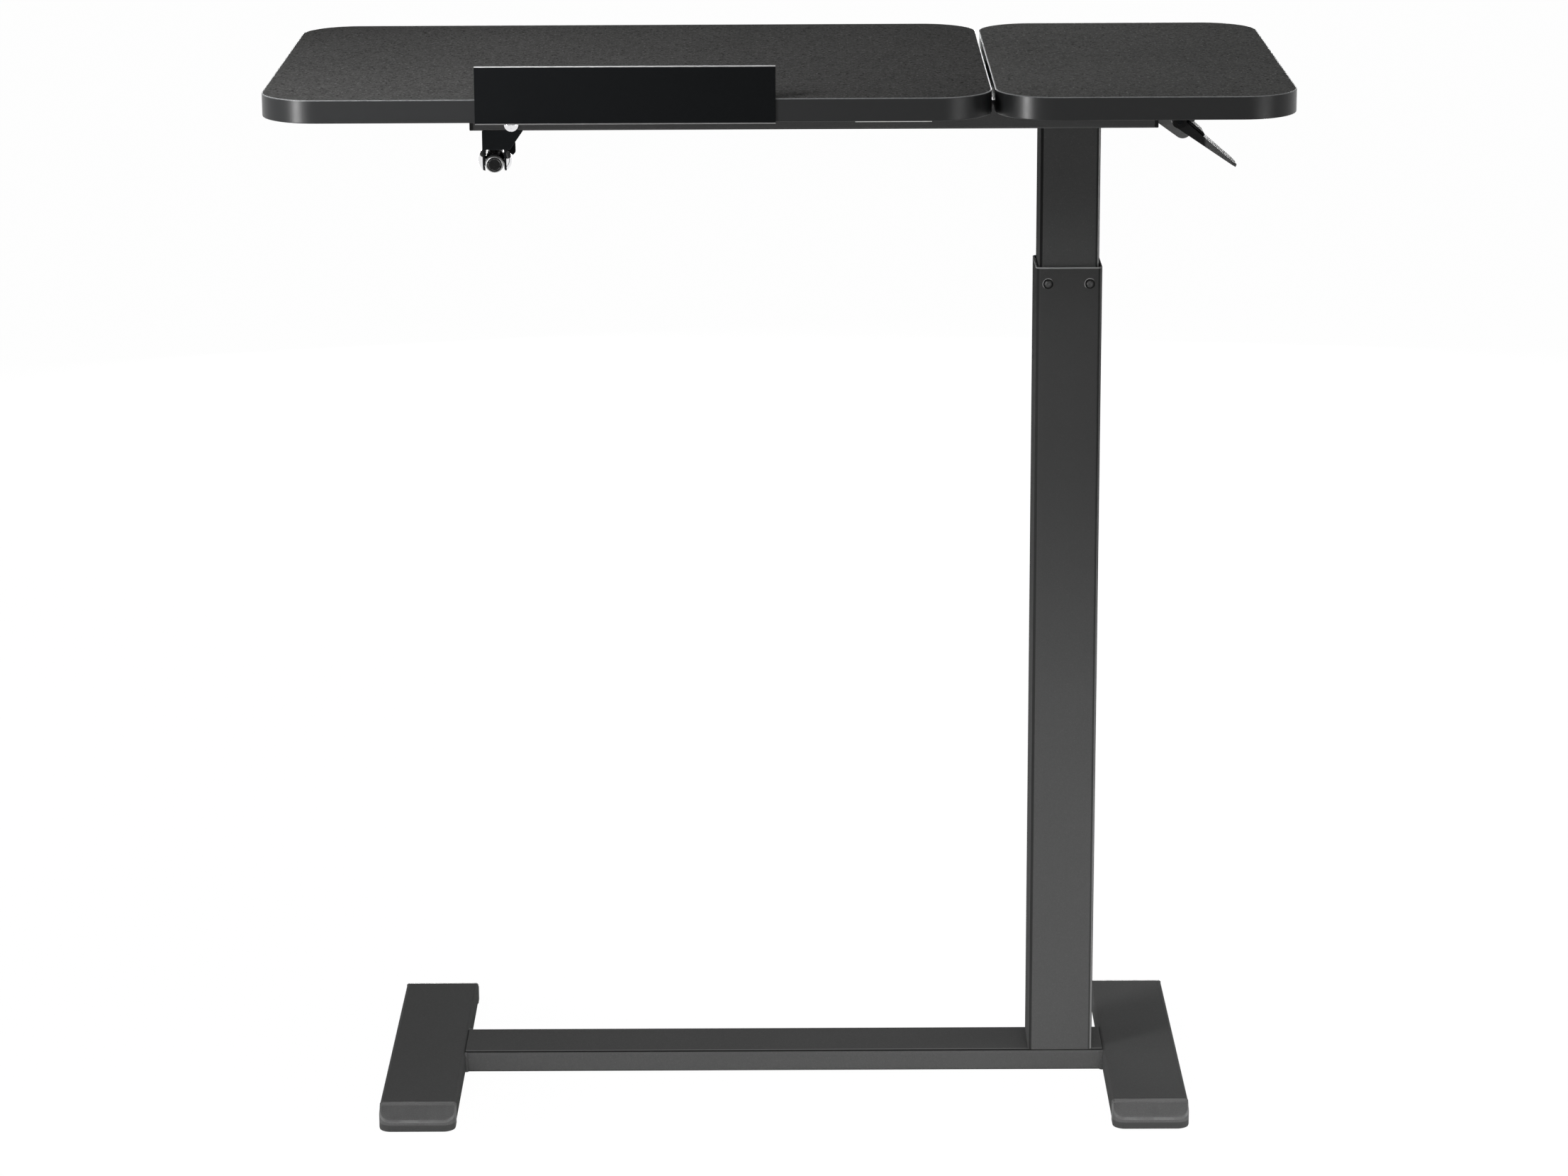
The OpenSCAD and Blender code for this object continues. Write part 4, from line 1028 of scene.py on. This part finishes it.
def foot_cap(low, high, tube_end, end):
    """One moulded cap: collar, sloping face with a filleted border, rounded corners and a drafted
    wall. Its end is 1 at the rear of a foot and -1 at the front."""
    collar, step, corner = sizes().cap_collar, sizes().cap_step, sizes().cap_corner
    deck = high.z - 0.1 * MM
    sag, ramp = 0.35 * MM, 0.7 * MM
    # The border's fillet starts at a share of its depth and is whole soon after the tube's end.
    fillet_share, fillet_run = 0.45, 4 * MM
    # What is painted pale as a highlight: these rows of the fillet, from this point of each ring on.
    highlighted_rows, highlighted_from = range(2, 5), 6
    depth = abs((high.y if end > 0 else low.y) - tube_end)
    half = (high.x - low.x) / 2
    middle = (high.x + low.x) / 2

    def face_height(back):
        """Height of the top face at a distance from the tube's end."""
        if back < collar:
            return deck - sag * back / collar
        slope = (deck - sag - step - sizes().cap_nose) / (depth - collar)
        return deck - sag - min(1.0, (back - collar) / ramp) * step - slope * (back - collar)

    straight = [0.0, 0.3 * MM, collar * 0.5, collar, collar + 0.25 * MM, collar + 0.5 * MM,
                collar + ramp, collar + 1.6 * MM, (collar + depth - corner) / 2 + MM]
    levels = [(inset, drop, None) for inset, drop in quarter(sizes().cap_fillet, 6)]
    levels += [(0.0, 0.0, low.z + 1.4 * MM), (0.3 * MM, 0.0, low.z + 0.4 * MM),
               (1.2 * MM, 0.0, low.z)]
    points = []
    for inset, drop, foot in levels:
        ring = [(-half + inset, back) for back in straight]
        ring += arc(-half + corner, depth - corner, corner - inset, -180, -270, 12)
        ring += [(-x, back) for x, back in reversed(ring)]
        for x, back in ring:
            height = face_height(back) - drop * min(1.0, fillet_share + back / fillet_run)
            points.append((middle + x, tube_end + end * back, height if foot is None else foot))
    count, total = len(ring), len(levels)
    faces, worn = [], []
    for r in range(total - 1):
        for i in range(count - 1):
            a, b = r * count + i, (r + 1) * count + i
            faces.append((a, a + 1, b + 1, b))
            worn.append(float(r in highlighted_rows and highlighted_from <= i < count - 1 - highlighted_from))
    for start in (0, (total - 1) * count):
        faces += [(start + i, start + i + 1, start + count - 2 - i, start + count - 1 - i)
                  for i in range(count // 2 - 1)]
    starts = range(0, total * count, count)
    faces.append((*starts, *(start + count - 1 for start in reversed(starts))))
    worn += [0.0] * (len(faces) - len(worn))
    return piece_from_faces("cap", points, faces, worn)


def foot_caps():
    tube_low, tube_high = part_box("left_foot_tube")
    caps = [foot_cap(low, high, tube_high.y, 1) if low.y + high.y > 0
            else foot_cap(low, high, tube_low.y, -1) for low, high in islands("foot_end_caps")]
    piece = joined("foot_caps", caps)
    shade(piece, 50.0)
    place_piece(piece, "base", "end_cap_plastic", "foot_end_caps")


def snap_buttons():
    """Heads of the glide's buttons in the holes of the outer tube, front and rear."""
    low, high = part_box("upper_glide")
    places = [((x, y, z), (0.0, out, 0.0)) for x, z in hole_centres()
              for y, out in ((low.y, -1.0), (high.y, 1.0))]
    piece = points_piece("snap_buttons", [place for place, out in places],
                         outward=[out for place, out in places])
    grow(piece, button_tree, {
        "Radius": sizes().button_radius, "Height": sizes().button_height, "Crown": 0.85,
        "Dimple": 0.55, "Seed": 3, "Finish": finish("button_nylon")})
    shade(piece, 40.0, weighted=False)
    place_piece(piece, "base", "nylon", look="button_nylon")


# Radii of the stay's round parts, and how far its bolt's domes stand out.
STAY_TUBE = 7.2 * MM
STAY_BORE = 4.1 * MM
STAY_GLAND = 8.1 * MM
STAY_BEAD = 2.5 * MM
STAY_DOME = 8.7 * MM
STAY_SHAFT = 3 * MM
STAY_DOME_RISE = 4.5 * MM


def from_places(start, *steps):
    """Profile from (millimetres after start, radius) pairs."""
    return [(start + place * MM, radius) for place, radius in steps]


def stay_barrel(pivot, along):
    """Crimped tube of the stay, its end ring and its gland."""
    start, end = reach("stay_tube", pivot, along)
    wall, bore, crimp = STAY_TUBE, STAY_BORE, STAY_TUBE - 0.7 * MM
    profile = from_places(start, (1.4, 0.0), (1.4, 4.6 * MM), (1.4, 5.2 * MM), (2.4, 6.4 * MM),
                          (3.1, 7.05 * MM), (3.4, wall))
    profile += from_places(end, (-16, wall), (-15, crimp), (-13.6, crimp), (-12.6, wall),
                           (-0.3, wall), (0, wall - 0.3 * MM), (0, bore), (-12, bore), (-12, 0.0))
    piece = revolved("stay_tube_shell", profile, pivot, along)
    place_piece(piece, "stay_tube", "stop_paint", "stay_tube", look="stay_tube_paint")

    bead, outside = STAY_BEAD, STAY_TUBE + 0.15 * MM
    profile = from_places(start, (1.3, outside - bead - 0.6 * MM),
                          (0.3, outside - bead - 0.6 * MM), (0, outside - bead - 0.3 * MM))
    profile += [(start + drop, outside - inset) for inset, drop in quarter(bead, 8)]
    profile += [(start + 1.25 * bead, outside), (start + 1.25 * bead, wall - 0.4 * MM),
                (start + 1.3 * MM, wall - 2.4 * MM), profile[0]]
    piece = revolved("stay_end_ring", profile, pivot, along)
    place_piece(piece, "stay_tube", "zinc", look="end_ring_plate")

    start, end = reach("stay_gland", pivot, along)
    wide, groove = STAY_GLAND, STAY_GLAND - 0.45 * MM
    profile = from_places(start, (0, bore), (0, wide - 0.5 * MM), (0.5, wide), (3.4, wide),
                          (4, groove), (4.8, groove), (5.4, wide))
    profile += from_places(end, (-2, wide), (-0.5, wide - 1.1 * MM), (0, wide - 2.2 * MM),
                           (0, bore + 0.5 * MM), (-0.6, bore))
    piece = revolved("stay_gland_ring", profile + [profile[0]], pivot, along)
    place_piece(piece, "stay_tube", "black_plastic", "stay_gland")


def stay_domes(pivot):
    """Bolt of the stay with a domed cap at both ends."""
    low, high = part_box("stay_bolt")
    start, end = low.x - pivot.x, high.x - pivot.x
    ball = (STAY_DOME ** 2 + STAY_DOME_RISE ** 2) / (2 * STAY_DOME_RISE)
    rounded = STAY_DOME * 0.985
    outs = [rounded * i / 12 for i in range(13)]
    profile = [(start + ball - math.sqrt(ball * ball - out * out), out) for out in outs]
    rim = start + STAY_DOME_RISE
    profile += [(rim - 0.25 * MM, STAY_DOME), (rim, STAY_DOME - 0.3 * MM), (rim, STAY_SHAFT)]
    profile += [(start + end - place, out) for place, out in reversed(profile)]
    piece = revolved("stay_bolt_domes", profile, pivot, (1.0, 0.0, 0.0), 64)
    place_piece(piece, "lift", "chrome", "stay_bolt")


# Thickness of a screw's shank as a share of the CAD screw's.
SHANK_SHARE = 0.4


def screws(node, body, slot, facing, head_height, crown, seed, head_share=1.0):
    """Replaces a CAD node of screws. Each solid gives a screw whose head is at its outward end, as
    wide as head_share of the solid's. Where facing is None, they face out to the front and rear."""
    places, outward = [], []
    for low, high in islands(node):
        seat = (low + high) / 2
        face = Vector(facing or (0.0, math.copysign(1.0, seat.y), 0.0))
        axis = max(range(3), key=lambda i: abs(face[i]))
        spread = (high - low)[(axis + 1) % 3]
        seat[axis] = (high if face[axis] > 0 else low)[axis] - face[axis] * head_height
        places.append(seat)
        outward.append(face)
        shank = (high - low)[axis] - head_height
    piece = points_piece(node + "_dressed", places, outward=outward)
    grow(piece, screw_tree, {
        "Head Radius": head_share * spread / 2, "Head Height": head_height, "Crown": crown,
        "Recess Width": sizes().recess_width, "Shank Radius": SHANK_SHARE * spread / 2,
        "Shank Length": shank, "Seed": seed, "Finish": finish(slot)})
    shade(piece, 30.0, weighted=False)
    place_piece(piece, body, slot, node)


# Operators


class TableStep:
    """What every operator of the table shares."""
    bl_options = {"REGISTER", "UNDO"}


class LAPTOP_TABLE_OT_boards(TableStep, bpy.types.Operator):
    """Boards with their laminate, hairline joints and rounded edge bands"""
    bl_idname = "laptop_table.boards"
    bl_label = "Boards"

    def execute(self, context):
        board_top("main", "tilt_top")
        board_top("side", "lift")
        return {"FINISHED"}


class LAPTOP_TABLE_OT_stop(TableStep, bpy.types.Operator):
    """Folded laptop stop with its bend and eased sheet edges"""
    bl_idname = "laptop_table.stop"
    bl_label = "Laptop stop"

    def execute(self, context):
        stop_sheet()
        return {"FINISHED"}


class LAPTOP_TABLE_OT_base(TableStep, bpy.types.Operator):
    """Foot tubes, crossbar and the weld beads that join them"""
    bl_idname = "laptop_table.base"
    bl_label = "Base"

    def execute(self, context):
        edge = sizes().tube_edge
        soften_nodes("base", "frame_paint", edge, "left_foot_tube", "right_foot_tube")
        soften_nodes("base", "frame_paint", edge, "crossbar", look="crossbar_paint")
        weld_beads()
        return {"FINISHED"}


class LAPTOP_TABLE_OT_foot_caps(TableStep, bpy.types.Operator):
    """Four moulded foot caps and the rubber pads under the feet"""
    bl_idname = "laptop_table.foot_caps"
    bl_label = "Foot caps"

    def execute(self, context):
        foot_caps()
        soften_nodes("base", "rubber", sizes().sheet_edge, "foot_pads")
        return {"FINISHED"}


class LAPTOP_TABLE_OT_column(TableStep, bpy.types.Operator):
    """Telescopic column: its two tubes, glides, snap buttons, plates and gas spring"""
    bl_idname = "laptop_table.column"
    bl_label = "Column"

    def execute(self, context):
        tube, sheet, nut = sizes().tube_edge, sizes().sheet_edge, sizes().hex_edge
        soften_nodes("base", "frame_paint", tube, "outer_column", look="outer_tube_paint")
        soften_nodes("lift", "frame_paint", tube, "inner_column", look="inner_tube_paint")
        soften_nodes("base", "nylon", sheet, "upper_glide")
        soften_nodes("lift", "nylon", sheet, "lower_glide")
        soften_nodes("base", "under_paint", sheet, "column_base_plate")
        soften_nodes("lift", "under_paint", sheet, "column_top_plate", "mount_plate")
        soften_nodes("base", "zinc", nut, "column_bolts", "cylinder_nut")
        soften_nodes("lift", "zinc", nut, "mount_bolts", "mount_nuts", "rod_nut")
        paint_nodes("gas_cylinder", "gas_piston", "gas_rod", "release_pin")
        snap_buttons()
        return {"FINISHED"}


class LAPTOP_TABLE_OT_rails(TableStep, bpy.types.Operator):
    """Rails and cross tube under the boards, with their end caps"""
    bl_idname = "laptop_table.rails"
    bl_label = "Rails"

    def execute(self, context):
        soften_nodes("lift", "under_paint", sizes().tube_edge,
                     "front_rail", "rear_rail", "left_cross_tube")
        soften_nodes("lift", "black_plastic", sizes().moulding_edge, "rail_end_caps", segments=3)
        return {"FINISHED"}


class LAPTOP_TABLE_OT_hinges(TableStep, bpy.types.Operator):
    """Leaves, knuckles and pins of the board's two hinges"""
    bl_idname = "laptop_table.hinges"
    bl_label = "Hinges"

    def execute(self, context):
        soften_nodes("lift", "zinc", sizes().leaf_edge, "hinge_fixed_leaves")
        soften_nodes("tilt_top", "zinc", sizes().leaf_edge, "hinge_moving_leaves")
        soften_nodes("lift", "zinc", sizes().sheet_edge, "hinge_pins")
        return {"FINISHED"}


class LAPTOP_TABLE_OT_stay(TableStep, bpy.types.Operator):
    """Tilt stay: bracket, domed bolt, crimped tube, gland, rod and its eye"""
    bl_idname = "laptop_table.stay"
    bl_label = "Tilt stay"

    def execute(self, context):
        joints = {joint["name"]: joint for joint in frame["joints"]}
        pivot = Vector(joints["stay_swing"]["pos_m"])
        edge = sizes().sheet_edge
        soften_nodes("lift", "stop_paint", edge, "stay_bracket", look="stay_bracket_paint")
        soften_nodes("tilt_top", "stop_paint", edge, "stay_upper_bracket")
        soften_nodes("tilt_top", "zinc", edge, "stay_upper_pin")
        soften_nodes("stay_rod", "zinc", edge, "stay_eye")
        paint_nodes("stay_end_plug", "stay_rod")
        stay_barrel(pivot, Vector(joints["stay_extend"]["axis"]).normalized())
        stay_domes(pivot)
        return {"FINISHED"}


class LAPTOP_TABLE_OT_lever(TableStep, bpy.types.Operator):
    """Release lever with its block, bracket and pin"""
    bl_idname = "laptop_table.lever"
    bl_label = "Release lever"

    def execute(self, context):
        edge = sizes().sheet_edge
        soften_nodes("lever", "lever_plastic", sizes().moulding_edge, "release_lever", segments=3)
        soften_nodes("lever", "black_plastic", sizes().block_edge, "lever_block", segments=4)
        soften_nodes("lift", "frame_paint", edge, "lever_bracket", look="lever_bracket_paint")
        soften_nodes("lift", "stop_paint", edge, "lever_pin")
        soften_nodes("lever", "zinc", sizes().crank_edge, "lever_crank_pin")
        return {"FINISHED"}


class LAPTOP_TABLE_OT_release(TableStep, bpy.types.Operator):
    """Push link, rocker and its bracket between the lever and the gas spring"""
    bl_idname = "laptop_table.release"
    bl_label = "Release linkage"

    def execute(self, context):
        link, crank = sizes().link_edge, sizes().crank_edge
        soften_nodes("link", "zinc", link, "push_link")
        soften_nodes("rocker", "zinc", crank, "release_rocker", "rocker_crank_pin")
        soften_nodes("lift", "under_paint", link, "rocker_bracket")
        soften_nodes("lift", "zinc", crank, "rocker_pin")
        return {"FINISHED"}


class LAPTOP_TABLE_OT_screws(TableStep, bpy.types.Operator):
    """Every screw of the boards, rails, hinges, stop and brackets"""
    bl_idname = "laptop_table.screws"
    bl_label = "Screws"

    def execute(self, context):
        down, forward = (0.0, 0.0, -1.0), (0.0, -1.0, 0.0)
        screws("rail_screws", "lift", "chrome", None, 3.5 * MM, 0.55, 5, head_share=0.82)
        screws("side_board_screws", "lift", "zinc", down, 1.8 * MM, 0.35, 21)
        for seed, (node, body, facing) in enumerate([
                ("lever_bracket_screws", "lift", down), ("fixed_leaf_screws", "lift", forward),
                ("moving_leaf_screws", "tilt_top", down), ("stop_screws", "tilt_top", down),
                ("upper_bracket_screws", "tilt_top", down)], 22):
            screws(node, body, "zinc", facing, 1.6 * MM, 0.35, seed)
        return {"FINISHED"}


# Stage


# How much of its white the ground shows to the camera, and the world's strength on the object.
GROUND_WHITE = 0.985
WORLD_FILL = 0.20


def stage_finish():
    """White floor that also shows as white to the camera and in reflections, and still takes a
    soft shadow. It is clear from below."""
    look = Finish("pale floor")
    seen = look.seen_rays() * GROUND_WHITE
    mottle = look.noise(0.4, 2.0)
    floor = look.add("ShaderNodeBsdfDiffuse", None,
                     {"Color": look.between(grey(0.86), grey(0.90), mottle)})
    glow = look.add("ShaderNodeEmission", None, {"Color": grey(1.0), "Strength": 1.0})
    both = look.add("ShaderNodeMixShader", None, {0: seen, 1: floor, 2: glow})
    below = look.add("ShaderNodeNewGeometry", output="Backfacing")
    clear = look.add("ShaderNodeBsdfTransparent")
    one_sided = look.add("ShaderNodeMixShader", None, {0: below, 1: both, 2: clear})
    look.add("ShaderNodeOutputMaterial", None, {"Surface": one_sided})
    return look.material


def stage_floor():
    half = 16.0
    corners = [(x * half, y * half, 0.0) for x, y in ((-1, -1), (1, -1), (1, 1), (-1, 1))]
    floor = piece_from_faces("floor", corners, [(0, 1, 2, 3)])
    floor.data.materials.append(stage_finish())


def studio_world():
    """World that is white to the camera and in reflections, and a dim fill for the rest."""
    world = bpy.data.worlds.new("studio")
    world.use_nodes = True
    world.node_tree.nodes.clear()
    graph = Graph(world.node_tree)
    strength = WORLD_FILL + graph.seen_rays() * (1.0 - WORLD_FILL)
    light = graph.add("ShaderNodeBackground", None, {"Color": grey(1.0), "Strength": strength})
    graph.add("ShaderNodeOutputWorld", None, {"Surface": light})
    bpy.context.scene.world = world


# Each lamp: name, place, target, width and height in metres, watts and spread in degrees.
LAMPS = [
    ("overhead", (0.5, -0.4, 2.1), (0.2, 0.0, 0.8), 0.9, 0.9, 20, 180),
    ("key", (-0.5, -2.3, 1.9), (0.0, 0.0, 0.7), 1.6, 1.2, 3, 180),
    ("board_key", (-0.95, -0.75, 1.35), (-0.35, -0.12, 0.86), 0.5, 0.4, 4.8, 46),
    ("front_low", (0.15, -2.0, 0.55), (0.15, 0.0, -0.1), 3.0, 0.3, 11.5, 38),
    ("left_low", (-2.4, 0.1, 0.45), (-1.3, 0.1, 0.0), 2.4, 0.3, 14, 52),
    ("right_low", (2.4, 0.1, 0.45), (1.3, 0.1, 0.0), 2.4, 0.3, 14, 52),
    ("left_front", (-1.15, -1.05, 0.66), (0.1, -0.2, 0.82), 0.26, 0.3, 2.2, 66),
    ("right_front", (1.6, -1.2, 0.52), (0.37, -0.12, 0.87), 2.0, 0.25, 0.6, 40),
    ("left_rear", (-0.6, 2.9, 0.65), (0.1, 0.0, 0.5), 0.5, 1.1, 46, 180),
    ("right_rear", (0.6, 2.9, 0.65), (0.2, 0.0, 0.5), 0.5, 1.1, 46, 180),
]


def soft_lamps():
    for name, place, target, width, height, watts, spread in LAMPS:
        lamp = bpy.data.lights.new(name, "AREA")
        lamp.shape = "RECTANGLE"
        lamp.size = width
        lamp.size_y = height
        lamp.energy = watts
        lamp.spread = math.radians(spread)
        holder = bpy.data.objects.new(name, lamp)
        holder.location = place
        facing = Vector(target) - Vector(place)
        holder.rotation_euler = facing.to_track_quat("-Z", "Y").to_euler()
        bpy.context.scene.collection.objects.link(holder)


def studio_camera():
    """Camera solved from the photograph: place, yaw, pitch and roll in the part's own frame."""
    place = Vector((0.00420, -3.65935, 1.40917))
    yaw, pitch, roll = -0.000645, 0.264283, -0.004482
    ahead = Vector((math.sin(yaw) * math.cos(pitch), math.cos(yaw) * math.cos(pitch),
                    -math.sin(pitch)))
    level = Vector((math.cos(yaw), -math.sin(yaw), 0.0))
    upright = level.cross(ahead)
    right = level * math.cos(roll) + upright * math.sin(roll)
    up = upright * math.cos(roll) - level * math.sin(roll)
    lens = bpy.data.cameras.new("studio camera")
    lens.lens = 104.75
    lens.sensor_width = 36.0
    lens.sensor_fit = "HORIZONTAL"
    lens.clip_end = 60.0
    camera = bpy.data.objects.new("studio_camera", lens)
    turn = Matrix((right, up, -ahead)).transposed().to_4x4()
    camera.matrix_world = Matrix.Translation(place) @ turn
    bpy.context.scene.collection.objects.link(camera)
    bpy.context.scene.camera = camera


class LAPTOP_TABLE_OT_stage(TableStep, bpy.types.Operator):
    """Floor, soft lamps, world and the camera"""
    bl_idname = "laptop_table.stage"
    bl_label = "Stage"

    def execute(self, context):
        stage_floor()
        studio_world()
        soft_lamps()
        studio_camera()
        context.scene.view_settings.view_transform = "Standard"
        return {"FINISHED"}


# Add-on


BUILD_ORDER = [
    LAPTOP_TABLE_OT_boards, LAPTOP_TABLE_OT_stop, LAPTOP_TABLE_OT_base,
    LAPTOP_TABLE_OT_foot_caps, LAPTOP_TABLE_OT_column, LAPTOP_TABLE_OT_rails,
    LAPTOP_TABLE_OT_hinges, LAPTOP_TABLE_OT_stay, LAPTOP_TABLE_OT_lever,
    LAPTOP_TABLE_OT_release, LAPTOP_TABLE_OT_screws, LAPTOP_TABLE_OT_stage,
]


class LAPTOP_TABLE_PT_panel(bpy.types.Panel):
    """Sizes, colours and build steps of the laptop table"""
    bl_idname = "LAPTOP_TABLE_PT_panel"
    bl_label = "Laptop table"
    bl_space_type = "VIEW_3D"
    bl_region_type = "UI"
    bl_category = "Laptop table"

    def draw(self, context):
        for group in (context.scene.table_sizes, context.scene.table_colours):
            box = self.layout.box()
            for name in group.bl_rna.properties.keys():
                if name not in ("rna_type", "name"):
                    box.prop(group, name)
        for operator in BUILD_ORDER:
            self.layout.operator(operator.bl_idname)


CLASSES = [TableSizes, TableColours] + BUILD_ORDER + [LAPTOP_TABLE_PT_panel]


def register():
    for entry in CLASSES:
        bpy.utils.register_class(entry)
    bpy.types.Scene.table_sizes = bpy.props.PointerProperty(type=TableSizes)
    bpy.types.Scene.table_colours = bpy.props.PointerProperty(type=TableColours)


def unregister():
    del bpy.types.Scene.table_colours
    del bpy.types.Scene.table_sizes
    for entry in reversed(CLASSES):
        bpy.utils.unregister_class(entry)


def main():
    register()
    for operator in BUILD_ORDER:
        group, name = operator.bl_idname.split(".")
        getattr(getattr(bpy.ops, group), name)()


if __name__ == "__main__":
    main()
